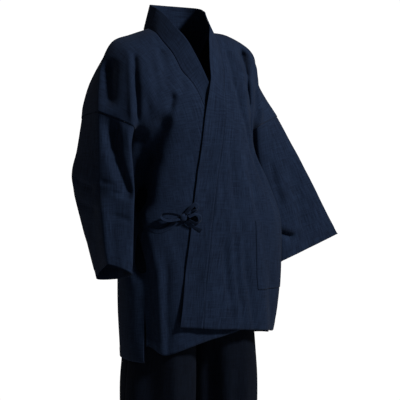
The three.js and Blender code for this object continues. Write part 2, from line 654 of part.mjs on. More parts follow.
function pocket() {
  const mesh = net();
  const at = (u, row) => {
    const x = lerp(POCKET.left, POCKET.right, u);
    const z = lerp(POCKET.top, POCKET.bottom, row / POCKET_ROWS) - POCKET.rise * u;
    return onFront(x, z, CLOTH + POCKET.gap, true);
  };
  addGrid(mesh, POCKET_COLUMNS, POCKET_ROWS, at, false);
  piece('pocket_left', wall(mesh, CLOTH));
}

// A flat strip of cloth along a list of places on the fronts, its face turned out from the trunk. Each
// place is how far it lies from the middle line, its level and how far it stands off the right front.
const STRIP_STEP = 0.02; // share of its length over which a strip's direction is taken
function strip(name, places, steps, twist) {
  const path = places.map(([x, z, lift]) => onFront(x, z, lift, false));
  const mesh = net();
  const at = (u, row) => {
    const t = row / steps;
    const here = new THREE.Vector3(...through(path, t));
    const ahead = new THREE.Vector3(...through(path, t + STRIP_STEP));
    const behind = new THREE.Vector3(...through(path, t - STRIP_STEP));
    const out = new THREE.Vector3(...outward(here.toArray()));
    const across = ahead.sub(behind).cross(out).normalize();
    across.multiplyScalar(Math.cos(radians(twist))).addScaledVector(out, Math.sin(radians(twist)));
    return here.addScaledVector(across, (u - 0.5) * TIE.width).toArray();
  };
  addGrid(mesh, 1, steps, at, true);
  piece(name, wall(mesh, TIE.thick));
}

// The tie at the wearer's right: a strip from the left front's edge and one from the side seam meet in
// a bow, and the end of the inner pair hangs at the seam.
function ties() {
  for (const [name, places] of Object.entries(TIES)) {
    strip(name, places, TIE.steps, name.startsWith('bow_loop') ? TIE.loopTwist : 0);
  }
  const knot = new THREE.SphereGeometry(1, ...KNOT_SEGMENTS);
  knot.scale(...KNOT.half);
  knot.translate(...onFront(KNOT.x, KNOT.z, KNOT.lift, false));
  knot.deleteAttribute('normal');
  knot.deleteAttribute('uv');
  piece('bow_knot', mergeVertices(knot, WELD / 20));
}

// ---- the trousers -----------------------------------------------------------------------------------
// Angle round a trouser section at which it meets the middle: 90 degrees at the waist, 0 along a leg.
function crotchAngle(z) {
  const share = Math.min(column(LEG, 'middle', z) / column(LEG, 'reach', z), 1);
  return Math.acos(Math.max(share, 0) ** (1 / LEG_SQUARENESS));
}

// Point of a trouser half, u from the middle seam (0) round the front or the back to the side seam (1).
function legPoint(side, front, u, z) {
  const angle = lerp(crotchAngle(z), Math.PI, u);
  const centre = column(LEG, 'centre', z);
  const depth = front ? centre - column(LEG, 'front', z) : column(LEG, 'back', z) - centre;
  const x = column(LEG, 'middle', z) - column(LEG, 'reach', z) * power(Math.cos(angle), LEG_SQUARENESS);
  const y = centre + (front ? -1 : 1) * depth * power(Math.sin(angle), LEG_SQUARENESS);
  return [side * Math.max(x, SEAM / 2), y, z];
}

function trouserPanel(side, front) {
  const mesh = net();
  const top = LEG[0].z - WAISTBAND_DEPTH;
  const bottom = LEG[LEG.length - 1].z;
  const at = (u, row) => {
    const t = row / LEG_ROWS;
    return legPoint(side, front, inset(u, LEG_WIDTH, SEAM, SEAM / 2), lerp(top, bottom, t));
  };
  const lean = (u, row) => {
    const angle = crotchAngle(lerp(top, bottom, row / LEG_ROWS));
    return u === 0 ? [-side * Math.cos(angle), (front ? -1 : 1) * Math.sin(angle), 0] : null;
  };
  addGrid(mesh, LEG_COLUMNS, LEG_ROWS, at, (side > 0) !== front, lean);
  const name = `trouser_${front ? 'front' : 'back'}_${side < 0 ? 'right' : 'left'}`;
  piece(name, wall(mesh, CLOTH));
}

// The waistband runs round both halves: a quarter of a turn for each of the four panels.
function waistband() {
  const mesh = net();
  const top = LEG[0].z;
  const at = (u, row) => {
    const z = lerp(top, top - WAISTBAND_DEPTH + SEAM, row / WAISTBAND_ROWS);
    const turn = (u % 1) * 4;
    const side = turn < 2 ? 1 : -1;
    const front = turn < 1 || turn >= 3;
    const along = 1 - Math.abs((turn % 2) - 1);
    const point = legPoint(side, front, along, z);
    return along === 0 ? [0, point[1], z] : point;
  };
  addGrid(mesh, WAISTBAND_COLUMNS, WAISTBAND_ROWS, at, false);
  piece('waistband', wall(mesh, BAND_CLOTH));
}

// ---- assembly ---------------------------------------------------------------------------------------
for (const side of [-1, 1]) {
  body(side);
  sleeve(side);
  trouserPanel(side, true);
  trouserPanel(side, false);
}
collarBand();
waistband();
pocket();
ties();

export default group;
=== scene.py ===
"""A samue as it hangs when worn: a wrapped jacket and straight trousers of one navy slub cotton.

Lengths are in millimetres until a mesh is made, +Z is up, the front faces -Y and +X is the wearer's
left. The cut follows the same tables as the part's solids, on a finer grid and with finer creases.
"""
import math

import bmesh
import bpy
import numpy as np
from mathutils import Matrix, Vector


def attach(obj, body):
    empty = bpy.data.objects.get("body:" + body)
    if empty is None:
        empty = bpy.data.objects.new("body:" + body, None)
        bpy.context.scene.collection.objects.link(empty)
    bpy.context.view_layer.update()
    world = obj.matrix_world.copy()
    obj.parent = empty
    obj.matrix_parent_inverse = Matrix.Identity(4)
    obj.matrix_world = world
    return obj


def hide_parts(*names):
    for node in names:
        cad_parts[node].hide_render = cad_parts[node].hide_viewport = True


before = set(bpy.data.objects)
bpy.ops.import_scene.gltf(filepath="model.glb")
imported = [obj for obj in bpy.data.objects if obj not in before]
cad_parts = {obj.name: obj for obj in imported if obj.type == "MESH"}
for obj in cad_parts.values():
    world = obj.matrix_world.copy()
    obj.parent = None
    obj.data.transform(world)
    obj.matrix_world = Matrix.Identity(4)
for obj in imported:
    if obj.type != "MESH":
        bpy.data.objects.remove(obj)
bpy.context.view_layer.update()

MM = 0.001

# ---- camera ------------------------------------------------------------------------------------------
VIEW_AZIMUTH = -30.0  # degrees the camera stands round to the wearer's right
VIEW_DISTANCE = 2639.0  # from the origin, along the line of sight
VIEW_LEVEL = -300.0  # height of the lens
FOCAL_PIXELS = 1061.2
FRAME_PIXELS = 400
AIM = (200 - 180.8, 200 - 150)  # pixels from the level line of sight to the frame's middle
SENSOR = 36.0


def add_camera():
    """Stands the camera at its azimuth and turns it so that the frame's middle lies off the level sight."""
    turn = math.radians(VIEW_AZIMUTH)
    sight = Vector((-math.sin(turn), math.cos(turn), 0))
    right = Vector((math.cos(turn), math.sin(turn), 0))
    up = Vector((0, 0, 1))
    place = (-sight * VIEW_DISTANCE + up * VIEW_LEVEL) * MM
    aim = (sight + right * (AIM[0] / FOCAL_PIXELS) - up * (AIM[1] / FOCAL_PIXELS)).normalized()
    data = bpy.data.cameras.new("camera")
    data.sensor_width = SENSOR
    data.lens = FOCAL_PIXELS / FRAME_PIXELS * SENSOR
    camera = bpy.data.objects.new("camera", data)
    bpy.context.collection.objects.link(camera)
    camera.matrix_world = Matrix.Translation(place) @ aim.to_track_quat("-Z", "Y").to_matrix().to_4x4()
    bpy.context.scene.camera = camera


# ---- sizes -------------------------------------------------------------------------------------------
CLOTH = 1.4
BAND_CLOTH = 2.4
TIE_CLOTH = 1.6
BAND_CROWN = 2.4
BAND_PROUD = 0.5
LAP = 5.0
LAP_REACH, LAP_FADE = 50.0, 42.0  # past the right front's edge: where the lift has eased out, and over what
LAP_START, LAP_RISE = -98.0, 34.0  # level at which the lap begins, and the height over which it rises
HEM_FLARE = 8.0  # how much farther the lapped front stands off at its hem
FLARE_START, FLARE_DEPTH = -590.0, 130.0
SQUARENESS = 0.86
CHEST_LEVEL = -290.0
ARMPIT_LEVEL = -258.0
ARMPIT_RISE = 4
ARMPIT_TUCK = 4.5
TUCK_SCALE, TUCK_FADE = 12.0, 4.0  # brings t^4 (1 - t) to about 1, and how fast it eases out below
VENT_TOP = -672.0
VENT_OPEN = 2.4  # degrees round the trunk
VENT_RISE = 60.0
HEM_FOLD = 22.0  # depth of the turned-up hems
HEM_STEP = 0.7  # how far a turned-up hem stands out
HEM_RAMP = 2.5
STITCH = dict(length=2.8, gap=1.4, radius=0.3)
STITCH_HEM = 19.0  # height of a hem's stitches above its edge
POCKET = dict(left=124.0, right=236.0, top=-472.0, bottom=-640.0, rise=6.0, lift=1.5)
TIE_WIDTH = 11.0
KNOT = dict(x=-78.0, z=-457.0, lift=10.0, half=(10.0, 7.0, 9.0))

TRUNK = dict(
    z=[-100, -150, -250, -290, -383, -470, -570, -690, -810],
    right=[168, 172, 173, 166, 173, 181, 184, 183, 177],
    left=[172, 176, 183, 183, 224, 254, 253, 240, 206],
    front=[-122, -135, -142, -143, -144, -149, -154, -161, -165],
    back=[96, 99, 97, 95, 87, 80, 79, 81, 80],
    middle=[-14, -18, -23, -25, -33, -42, -48, -50, -52],
)
WRAP = dict(
    z=[-100, -131, -187, -290, -470, -810],
    edge_right=[-9, -3, 20, 62, 108, 140],
    seam_right=[-52, -41, -19, 14, 56, 86],
    edge_left=[9, -3, -12, -28, -57, -108],
    seam_left=[59, 53, 43, 27, -3, -54],
    side_right=[84, 84, 84, 82, 64, 62],
    side_left=[88, 88, 88, 88, 86, 84],
)
COLLAR_EDGE = [(0, 64, 62), (43, 56, 61), (69, 29, 56), (68, -1, 45), (60, -20, 31), (51, -51, 3),
               (32, -81, -33), (19, -104, -73), (3, -131, -131)]
COLLAR_SEAM = [(0, 75, 0), (56, 63, -1), (86, 30, -3), (87, 2, -6), (83, -28, -20), (77, -53, -44),
               (67, -79, -72), (58, -106, -112), (47, -126, -158)]
NECK_POINT_ROW = 3
RIGHT_CROSSING = (-31, -127, -156)  # where the right seam of the band passes under the left one
CROSSING_SHARES = (0.45, 1.0)  # of the way from there down to the chest level
BACK_SEAM = [(0, 75, 0), (0, 93, -60), (0, 98, -150), (0, 95, CHEST_LEVEL)]
YOKE_CROWN = {
    "front": {-1: (-4, -5, 6), 1: (-2, -5, 6)},
    "back": {-1: (6, 12, 6), 1: (-2, 12, 6)},
}
FOLD_LINE = {
    -1: [(-87, 2, -6), (-140, 0, -24), (-190, -5, -44), (-222, -12, -96), (-241, -34, -156),
         (-253, -57, -212)],
    1: [(87, 2, -6), (138, 3, -12), (198, -5, -43), (207, -12, -80), (220, -14, -134), (272, -27, -214)],
}
SLEEVE = {
    -1: dict(
        fold=[(-253, -57, -212), (-257, -69, -300), (-263, -84, -388), (-264, -100, -486),
              (-262, -120, -558)],
        front=[(-188, -104, -244), (-194, -108, -306), (-198, -128, -388), (-204, -136, -486),
               (-212, -146, -582)],
        under=[None, (-196, 10, -312), (-204, -2, -392), (-204, -34, -500), (-200, -56, -603)],
        back=[(-243, 50, -226), (-262, 44, -300), (-279, 36, -372), (-262, 4, -500), (-246, -26, -603)],
    ),
    1: dict(
        fold=[(272, -27, -214), (337, -34, -318), (384, -38, -396), (427, -38, -466), (466, -36, -525)],
        front=[(190, -68, -238), (214, -46, -338), (253, -46, -426), (274, -50, -502), (278, -56, -584)],
        under=[None, (228, 2, -352), (266, 2, -438), (286, -8, -516), (294, -18, -590)],
        back=[(236, 42, -238), (284, 48, -340), (322, 40, -424), (352, 28, -500), (370, 18, -556)],
    ),
}
LEG = dict(
    z=[-392, -470, -570, -625, -670, -705, -735, -880, -1000, -1200, -1395],
    middle=[0, 0, 2, 14, 44, 79, 83, 90, 91, 94, 96],
    reach=[140, 158, 166, 155, 123, 83, 80, 87, 84, 76, 70],
    front=[-128, -132, -137, -139, -140, -140, -139, -138, -132, -116, -102],
    back=[56, 62, 66, 66, 64, 60, 56, 50, 46, 42, 44],
    centre=[-34, -38, -42, -42, -42, -42, -42, -42, -42, -38, -30],
)
LEG_SQUARENESS = 0.9
LEG_SEAM = 0.15  # half the seam between the two legs' panels
WAISTBAND_DEPTH = 34.0
WAISTBAND_CLOTH, WAISTBAND_GAP = 2.4, 0.3
HEM = {-1: dict(side=-798, edge=-722, curl=38), 1: dict(side=-764, edge=-712, curl=14), "middle": -797}
SEAM_SHARE = 0.88
CURL_START, CURL_DEPTH = 0.7, 110.0

# Cut coordinates over a piece's grid, in millimetres, and the flat size and area in metres of what shows.
CUT = {
    "body": (330, 800), "sleeve": (400, 400), "band": (115, 1900), "pocket": (140, 170), "knot": (40, 30),
    "trousers": (260, 980), "waistband": (700, 34),
}
TIE_GIRTH = 24
FLAT = {
    "body": dict(flat=(0.36, 1.6), area=0.44),
    "sleeve": dict(flat=(0.42, 0.42), area=0.137),
    "band": dict(flat=(0.056, 1.95), held="stretched"),
    "pocket": dict(flat=(0.15, 0.19), area=0.022, held="stretched"),
    "trousers": dict(flat=(0.32, 1.02), area=0.25),
    "waistband": dict(flat=(0.8, 0.035), held="gathered"),
}

# Folds of the drape: from, to, depth (a ridge where negative), half width, bearing that it is pushed
# towards, in degrees from +Y towards +X. FOLDS are the solids' own, the other two lists are finer.
FOLDS = [
    ((-92, -124, -170), (-117, -114, -240), 11, 15, 25),
    ((-112, -116, -226), (-152, -92, -325), 19, 25, 35),
    ((-154, -92, -305), (-169, -88, -440), 24, 30, 45),
    ((-212, -30, -92), (-224, -56, -200), 15, 18, 35),
    ((-228, -66, -225), (-230, -90, -310), 14, 18, 35),
    ((-229, -92, -315), (-209, -128, -412), 12, 16, 35),
    ((-94, -64, -60), (-106, -112, -150), 11, 13, 5),
    ((-172, -50, -70), (-188, -102, -235), -6, 11, 25),
    ((-166, -60, -84), (-178, -101, -235), 10, 11, 20),
    ((-280, 30, -385), (-215, -120, -405), 5, 14, 60),
    ((150, -45, -62), (136, -98, -160), 13, 13, -10),
    ((136, -98, -150), (152, -100, -255), 10, 13, -15),
    ((188, -45, -110), (187, -68, -226), -6, 12, -20),
    ((96, -62, -60), (82, -114, -140), 5, 13, 0),
    ((170, -90, -290), (212, -100, -440), 8, 20, -40),
    ((34, -148, -520), (30, -154, -650), 6, 20, 0),
    ((300, -50, -330), (356, -52, -520), 7, 16, -5),
    ((-120, 80, -160), (-70, 96, -420), 8, 26, 180),
    ((120, 80, -150), (84, 92, -460), 9, 28, 180),
    ((-20, 92, -470), (-60, 82, -760), 7, 30, 180),
]
CREASES = [
    # the right front and shoulder
    ((-91, -124, -170), (-100, -121, -205), 6, 7, 25),
    ((-84, -126, -176), (-104, -118, -262), -3.5, 9, 10),
    ((-162, -68, -80), (-174, -97, -140), 9, 6, 15),
    ((-174, -97, -138), (-175, -104, -230), 9, 6, 15),
    ((-173, -60, -76), (-190, -104, -232), -4, 5.5, 30),
    ((-214, -38, -100), (-222, -58, -198), 9, 15, 35),
    ((-168, -72, -310), (-178, -80, -440), 22, 20, 45),
    ((-140, -96, -290), (-160, -88, -420), 8, 18, 40),
    ((-150, -80, -250), (-160, -74, -310), 8, 16, 45),
    ((-148, -72, -95), (-150, -110, -215), 4, 9, 15),
    ((-150, -62, -66), (-146, -112, -200), -3, 14, 15),
    ((-128, -84, -86), (-132, -118, -190), 3, 10, 15),
    ((-54, -96, -92), (-70, -124, -170), 2.5, 8, 5),
    ((-30, -134, -215), (-78, -134, -330), 2.2, 12, 10),
    ((-20, -140, -330), (-96, -132, -405), 2.4, 10, 10),
    ((-96, -130, -500), (-60, -140, -610), 3.0, 14, 10),
    ((-176, -84, -415), (-172, -94, -590), 24, 17, 40),
    ((-166, -104, -520), (-168, -112, -760), 10, 26, 45),
    ((-154, -112, -560), (-152, -120, -760), 9, 15, 40),
    ((-134, -130, -560), (-128, -138, -780), -5, 10, 30),
    ((-122, -120, -520), (-118, -126, -720), 3.5, 15, 15),
    ((-86, -136, -640), (-100, -134, -780), -2.4, 14, 5),
    ((-60, -146, -560), (-70, -150, -700), 2.4, 12, 5),
    # the right sleeve, and round its elbow
    ((-229, -76, -245), (-226, -98, -330), 12, 14, 35),
    ((-226, -98, -325), (-208, -128, -408), 7, 11, 35),
    ((-200, -104, -250), (-198, -112, -330), -3, 6, 30),
    ((-238, -100, -396), (-205, -126, -412), 3.5, 5, 25),
    ((-240, -100, -448), (-208, -132, -462), 5.0, 7, 20),
    ((-262, -84, -372), (-232, -104, -380), 2.5, 6, 40),
    ((-276, 20, -372), (-262, -60, -392), 8, 9, 75),
    ((-268, 10, -424), (-262, -70, -440), 6, 9, 80),
    ((-262, -90, -415), (-260, -116, -575), -15, 20, 28),
    ((-236, -118, -470), (-232, -134, -570), -4, 14, 30),
    ((-255, -10, -500), (-230, -46, -590), 3.0, 12, 130),
    # the left front and shoulder
    ((157, -37, -47), (131, -100, -127), 28, 11, 28),
    ((130, -102, -126), (133, -115, -200), 25, 10, 25),
    ((133, -114, -195), (156, -94, -300), 16, 10, 15),
    ((172, -50, -70), (186, -70, -224), -7, 9, -20),
    ((96, -58, -52), (82, -112, -130), 6, 8, 0),
    ((82, -112, -130), (94, -130, -205), 6.5, 8, -5),
    ((94, -130, -203), (128, -116, -275), 6, 8, -15),
    ((118, -84, -84), (112, -126, -190), -5, 9, -5),
    ((118, -122, -262), (176, -104, -400), 5, 8, -25),
    ((138, -118, -262), (190, -100, -380), -3.5, 8, -25),
    ((112, -134, -320), (142, -136, -480), 3.5, 12, -15),
    ((66, -142, -330), (78, -148, -520), 2.4, 13, -5),
    ((168, -108, -330), (200, -112, -480), -3.0, 9, -30),
    ((8, -152, -440), (26, -158, -600), 3, 10, 0),
    ((60, -152, -500), (66, -158, -660), 3.5, 11, 0),
    ((96, -156, -560), (110, -160, -700), 3, 16, -8),
    ((1, -155, -500), (8, -163, -665), 3.5, 6, 0),
    ((16, -155, -470), (24, -164, -690), -2.6, 7, 0),
    ((33, -154, -505), (42, -166, -725), 4.2, 7, 0),
    ((60, -154, -500), (72, -164, -735), 3.6, 6.5, -4),
    ((46, -150, -420), (58, -164, -700), -2.4, 8, 0),
    ((88, -153, -520), (107, -159, -738), 4.5, 8, -8),
    ((26, -149, -300), (27, -151, -430), 2.8, 6, 0),
    ((52, -146, -290), (66, -150, -450), 3.2, 7, -5),
    ((-20, -158, -620), (-24, -166, -710), 2.6, 7, 0),
    ((-112, -128, -560), (-116, -128, -790), 3.5, 8, 15),
    ((-140, -112, -520), (-142, -112, -780), -3.0, 9, 30),
    ((180, -134, -560), (186, -134, -720), 3.0, 16, -30),
    # the left sleeve
    ((266, -48, -514), (312, -52, -527), 14, 7, 5),
    ((270, -48, -494), (318, -52, -508), -3.0, 8, 5),
    ((238, -50, -330), (272, -48, -440), 4.5, 8, -5),
    ((256, -48, -320), (292, -50, -450), -3.0, 9, -5),
    ((322, -44, -360), (384, -48, -500), 2.2, 12, -10),
    ((304, 46, -340), (352, 28, -540), 10, 13, 190),
    ((262, 48, -290), (340, 36, -400), 8, 10, 190),
    # the back
    ((-190, 40, -120), (-146, 86, -330), 13, 13, 195),
    ((190, 40, -120), (150, 86, -350), 14, 14, 165),
    ((-58, 90, -50), (-96, 96, -230), 7, 11, 180),
    ((62, 90, -50), (104, 96, -270), 8, 12, 180),
    ((34, 92, -440), (74, 82, -790), 10, 15, 180),
    ((-100, 84, -430), (-126, 76, -790), 9, 16, 185),
    ((158, 70, -430), (140, 66, -760), 10, 18, 170),
    ((-50, 96, -262), (40, 94, -300), 4.5, 9, 180),
    ((-110, 92, -385), (60, 90, -412), 4.5, 10, 180),
]
LEG_FOLDS = [
    ((-146, -112, -740), (-142, -92, -1340), 20, 32, 45),
    ((-99, -140, -760), (-98, -116, -1380), -7, 13, 5),
    ((-40, -136, -800), (-52, -112, -1380), 6, 20, 20),
    ((-128, -110, -1000), (-122, -100, -1380), 4, 14, 30),
    ((14, -118, -740), (24, -100, -1340), 18, 20, 40),
    ((56, -132, -800), (60, -110, -1340), -4, 14, 10),
    ((101, -140, -780), (100, -114, -1380), -5, 14, 0),
    ((72, -136, -860), (76, -114, -1380), 2, 12, 20),
    ((136, -112, -830), (128, -94, -1380), 5, 18, -30),
    ((-40, -120, -990), (-120, -112, -1060), 3, 10, 0),
    ((40, -116, -1010), (110, -110, -1050), 3, 10, 0),
    ((-70, 46, -780), (-78, 40, -1380), 12, 18, 180),
    ((-126, 34, -820), (-128, 30, -1380), 6, 14, 190),
    ((74, 46, -790), (80, 40, -1380), 13, 18, 180),
    ((130, 34, -840), (130, 30, -1380), 6, 14, 170),
    ((-60, -126, -1240), (-120, -104, -1330), 3, 9, 0),
    ((66, -120, -1230), (126, -100, -1320), 3, 9, 0),
]

CREASE_REACH = 36.0  # how deep through the cloth a finer crease reaches
FOLD_OVERRUN, FOLD_FADE = 0.15, 0.35  # shares of its length that a fold runs on, and fades over
SLOW_WAVE = dict(height=0.45, across=13.0, down=47.0, sway=1.9, sway_over=71.0, lean=1.3, lean_over=39.0)
SHORT_WAVE = dict(height=0.1575, across=7.1, down=19.0, slant=83.0, lean=1.7, lean_over=23.0)
WAVE_DEPTH = 0.6  # how far the waves run round the trunk for each step back
SHARP, SOFT = 0.66, 0.05  # how sharply a sleeve's ring turns at its fold and seam, and at its sides

# ---- curves and tables -------------------------------------------------------------------------------


def ease(t):
    """3t^2 - 2t^3 between 0 and 1, flat outside."""
    t = np.clip(t, 0, 1)
    return t * t * (3 - 2 * t)


def power(value, exponent):
    """The value's size to a power, with its sign kept."""
    return np.sign(value) * np.abs(value) ** exponent


def mix(a, b, t):
    """From a at t = 0 to b at t = 1, in a straight line."""
    return a + (b - a) * t


def hermite(a, b, slope_a, slope_b, s):
    """Cubic between a and b with the given end slopes, s from 0 to 1."""
    h1 = s * s * (3 - 2 * s)
    return (1 - h1) * a + h1 * b + (s ** 3 - 2 * s ** 2 + s) * slope_a + (s ** 3 - s ** 2) * slope_b


def through(points, t):
    """Smooth curve through a list of points, t from 0 to 1 (Catmull-Rom with one-sided end slopes)."""
    points = np.asarray(points, float)
    spans = len(points) - 1
    slopes = np.gradient(points, axis=0)
    at = np.clip(np.asarray(t, float), 0, 1) * spans
    k = np.minimum(at.astype(int), spans - 1)
    s = (at - k)[..., None]
    return hermite(points[k], points[k + 1], slopes[k], slopes[k + 1], s)


def column(table, name, z):
    """A column of a table at level z: cubic between rows, with slopes from the rows on both sides."""
    levels, values = np.array(table["z"], float), np.array(table[name], float)
    z = np.clip(np.asarray(z, float), levels[-1], levels[0])
    rows = np.arange(len(levels))
    before, after = np.maximum(rows - 1, 0), np.minimum(rows + 1, len(levels) - 1)
    slopes = (values[after] - values[before]) / (levels[after] - levels[before])
    k = np.clip(np.searchsorted(-levels, -z, side="right") - 1, 0, len(levels) - 2)
    span = levels[k + 1] - levels[k]
    share = (z - levels[k]) / span
    return hermite(values[k], values[k + 1], slopes[k] * span, slopes[k + 1] * span, share)


def stack(x, y, z):
    """Points from three arrays or numbers."""
    return np.stack(np.broadcast_arrays(x, y, z), axis=-1).astype(float)


# ---- the trunk ---------------------------------------------------------------------------------------
def trunk(angle, z):
    """A superellipse at each level: x = reach sin^p, y = middle - depth cos^p, with its own depth before
    and behind and its own reach to each side."""
    angle, z = np.broadcast_arrays(np.asarray(angle, float), np.asarray(z, float))
    middle = column(TRUNK, "middle", z)
    reach = np.where(angle < 0, column(TRUNK, "right", z), column(TRUNK, "left", z))
    before, behind = middle - column(TRUNK, "front", z), column(TRUNK, "back", z) - middle
    depth = np.where(np.cos(angle) > 0, before, behind)
    x = reach * power(np.sin(angle), SQUARENESS)
    return stack(x, middle - depth * power(np.cos(angle), SQUARENESS), z)


def angle_at(x, z):
    """Angle round the trunk's front at which it lies x from the middle line."""
    reach = np.where(x < 0, column(TRUNK, "right", z), column(TRUNK, "left", z))
    return np.arcsin(power(np.minimum(np.abs(x) / reach, 1), 1 / SQUARENESS)) * np.sign(x)


def outward(points):
    """Level unit vectors out of the trunk: the gradient of its ellipse."""
    x, y, z = np.moveaxis(points, -1, 0)
    middle = column(TRUNK, "middle", z)
    reach = np.where(x < 0, column(TRUNK, "right", z), column(TRUNK, "left", z))
    depth = np.where(y < middle, middle - column(TRUNK, "front", z), column(TRUNK, "back", z) - middle)
    out = stack(x / reach ** 2, (y - middle) / depth ** 2, 0)
    return out / np.linalg.norm(out, axis=-1, keepdims=True)


def lap_over(points):
    """How far the left front is lifted: fully over the right front, easing out past its free edge, and
    more towards the hem."""
    x, _, z = np.moveaxis(points, -1, 0)
    near = ease((column(WRAP, "edge_right", z) + LAP_REACH - x) / LAP_FADE)
    lift = LAP + HEM_FLARE * ease((FLARE_START - z) / FLARE_DEPTH)
    return lift * near * ease((LAP_START - z) / LAP_RISE)


def pushed(points, folds, through_cloth=None):
    """Sum of the folds' pushes: depth times a bell of the distance from the fold's line, eased at its ends.
    Along the push itself the bell is as wide as the fold, or through_cloth where that is given."""
    moved = np.zeros_like(points)
    for start, end, depth, width, bearing in folds:
        start, along = np.array(start, float), np.subtract(end, start).astype(float)
        heading = np.array((math.sin(math.radians(bearing)), math.cos(math.radians(bearing)), 0))
        rel = points - start
        share = rel @ along / (along @ along)
        off = rel - share[..., None] * along
        deep = off @ heading
        across = (off ** 2).sum(axis=-1) - deep ** 2
        ends = ease((share + FOLD_OVERRUN) / FOLD_FADE) * ease((1 + FOLD_OVERRUN - share) / FOLD_FADE)
        bell = np.exp(-across / width ** 2 - (deep / (through_cloth or width)) ** 2)
        moved += (depth * ends * bell)[..., None] * heading
    return moved


def unevenness(points):
    """The cloth's slight waver: a slow sine round the trunk times one down it, each swaying by a third
    sine, plus a shorter pair of about a third of that height."""
    x, y, z = np.moveaxis(points, -1, 0)
    girth = x + WAVE_DEPTH * y
    slow, short = SLOW_WAVE, SHORT_WAVE
    slow_across = np.sin(girth / slow["across"] + slow["sway"] * np.sin(z / slow["sway_over"]))
    slow_down = np.sin(z / slow["down"] + slow["lean"] * np.sin(x / slow["lean_over"]))
    short_across = np.sin(girth / short["across"] + z / short["slant"])
    short_down = np.sin(z / short["down"] + short["lean"] * np.sin(girth / short["lean_over"]))
    return slow["height"] * slow_across * slow_down + short["height"] * short_across * short_down


def hang(points, lapped, legs=False):
    """Every point of the cloth passes here: the folds and creases push it, it wavers a little, and the
    left front is lifted."""
    if legs:
        moved = points + pushed(points, LEG_FOLDS, CREASE_REACH)
    else:
        moved = points + pushed(points, FOLDS) + pushed(points, CREASES, CREASE_REACH)
    moved += outward(points) * unevenness(points)[..., None]
    if lapped:
        moved += outward(points) * lap_over(points)[..., None]
    return moved


# ---- shared lines ------------------------------------------------------------------------------------
def side_name(side):
    """The wearer's right is -1, the left is 1."""
    return "right" if side < 0 else "left"


def mirrored(points, side):
    """Points given for the left side, on either side."""
    return np.asarray(points, float) * (side, 1, 1)


def front_hem(side, share):
    """A front's hem level, from the side seam to the free edge."""
    return mix(HEM[side]["side"], HEM[side]["edge"], share)


def neckline(side, which, t):
    """The collar's free edge or seam, from the neck point down to the chest."""
    upper = mirrored((COLLAR_EDGE if which == "edge" else COLLAR_SEAM)[NECK_POINT_ROW:], side)
    if side < 0 and which == "seam":
        upper[-1] = RIGHT_CROSSING
    z = mix(COLLAR_SEAM[-1][2], CHEST_LEVEL, np.array(CROSSING_SHARES))
    lower = trunk(angle_at(column(WRAP, f"{which}_{side_name(side)}", z), z), z)
    return through(np.concatenate((upper, lower)), t)


def wrap_line(side, which, t):
    """The same lines from the chest to the hem."""
    z = mix(CHEST_LEVEL, front_hem(side, 1 if which == "edge" else SEAM_SHARE), t)
    return trunk(angle_at(column(WRAP, f"{which}_{side_name(side)}", z), z), z)


def side_angle(side, z):
    """Angle round the trunk at which the side seam lies."""
    return np.radians(column(WRAP, f"side_{side_name(side)}", z)) * side


def armpit(side):
    """Where the side seam meets the sleeve's under seam."""
    return trunk(side_angle(side, ARMPIT_LEVEL), ARMPIT_LEVEL)


def sleeve_point(side, t, turn):
    """A sleeve's ring passes through four corners that glide along the sleeve: the fold (turn 0), the
    front (0.25), the under seam (0.5) and the back (0.75), sharp at the fold and the seam."""
    t, turn = np.broadcast_arrays(np.asarray(t, float), np.asarray(turn, float))
    rows = SLEEVE[side]
    corners = [
        through([armpit(side) if place is None else place for place in rows[name]], t)
        for name in ("fold", "front", "under", "back")
    ]
    keep = ((1 - SHARP) / 2, (1 - SOFT) / 2) * 2
    slopes = [(corners[(i + 1) % 4] - corners[i - 1]) * keep[i] for i in range(4)]
    at = np.mod(turn, 1) * 4
    k = np.minimum(at.astype(int), 3)[..., None]
    s = at[..., None] - k
    point = np.zeros(corners[0].shape)
    for i in range(4):
        after = (i + 1) % 4
        point = np.where(k == i, hermite(corners[i], corners[after], slopes[i], slopes[after], s), point)
    return point


def patch(u, v, top, bottom, inner, outer, crown):
    """Coons patch between four edges, with a crown that rounds its middle."""
    zero, one = np.zeros_like(u), np.ones_like(u)
    u3, v3 = u[..., None], v[..., None]
    level = mix(top(u), bottom(u), v3)
    upright = mix(inner(v), outer(v), u3)
    flat = mix(mix(top(zero), top(one), u3), mix(bottom(zero), bottom(one), u3), v3)
    return level + upright - flat + np.array(crown, float) * 16 * u3 * (1 - u3) * v3 * (1 - v3)


def shoulder_fold(side, t):
    """The line over the shoulder from the neck point to the sleeve, where front turns into back."""
    return through(FOLD_LINE[side], t)


def tucked(points, t, share):
    """Draws the trunk in just in front of the armpit, where the sleeve hangs against it."""
    pull = ARMPIT_TUCK * TUCK_SCALE * t ** 4 * (1 - t) * ease(1 - share)
    return points - outward(points) * pull[..., None]


def chest_level(t):
    """The chest row's level: it rises to the armpit at t = 1."""
    return mix(CHEST_LEVEL, ARMPIT_LEVEL, t ** ARMPIT_RISE)


def chest_front(side, t):
    """The chest row of a front, from the band's seam to the armpit."""
    z = chest_level(t)
    start = angle_at(column(WRAP, f"seam_{side_name(side)}", CHEST_LEVEL), CHEST_LEVEL)
    return tucked(trunk(mix(start, side_angle(side, ARMPIT_LEVEL), t), z), t, np.zeros_like(t))


def chest_back(side, t):
    """The chest row of a back, from the centre back to the armpit."""
    z = chest_level(t)
    return trunk(mix(math.pi * side, side_angle(side, ARMPIT_LEVEL), t), z)


def slit(side, z):
    """Half the angle by which the side slit stands open."""
    return side * math.radians(VENT_OPEN / 2) * ease((VENT_TOP - z) / VENT_RISE)


def hem_curl(side, u, z):
    """How far a front's lower corner is drawn up beside the slit."""
    beside = ease((u - CURL_START) / (1 - CURL_START))
    return HEM[side]["curl"] * beside * ease((VENT_TOP - z) / CURL_DEPTH)


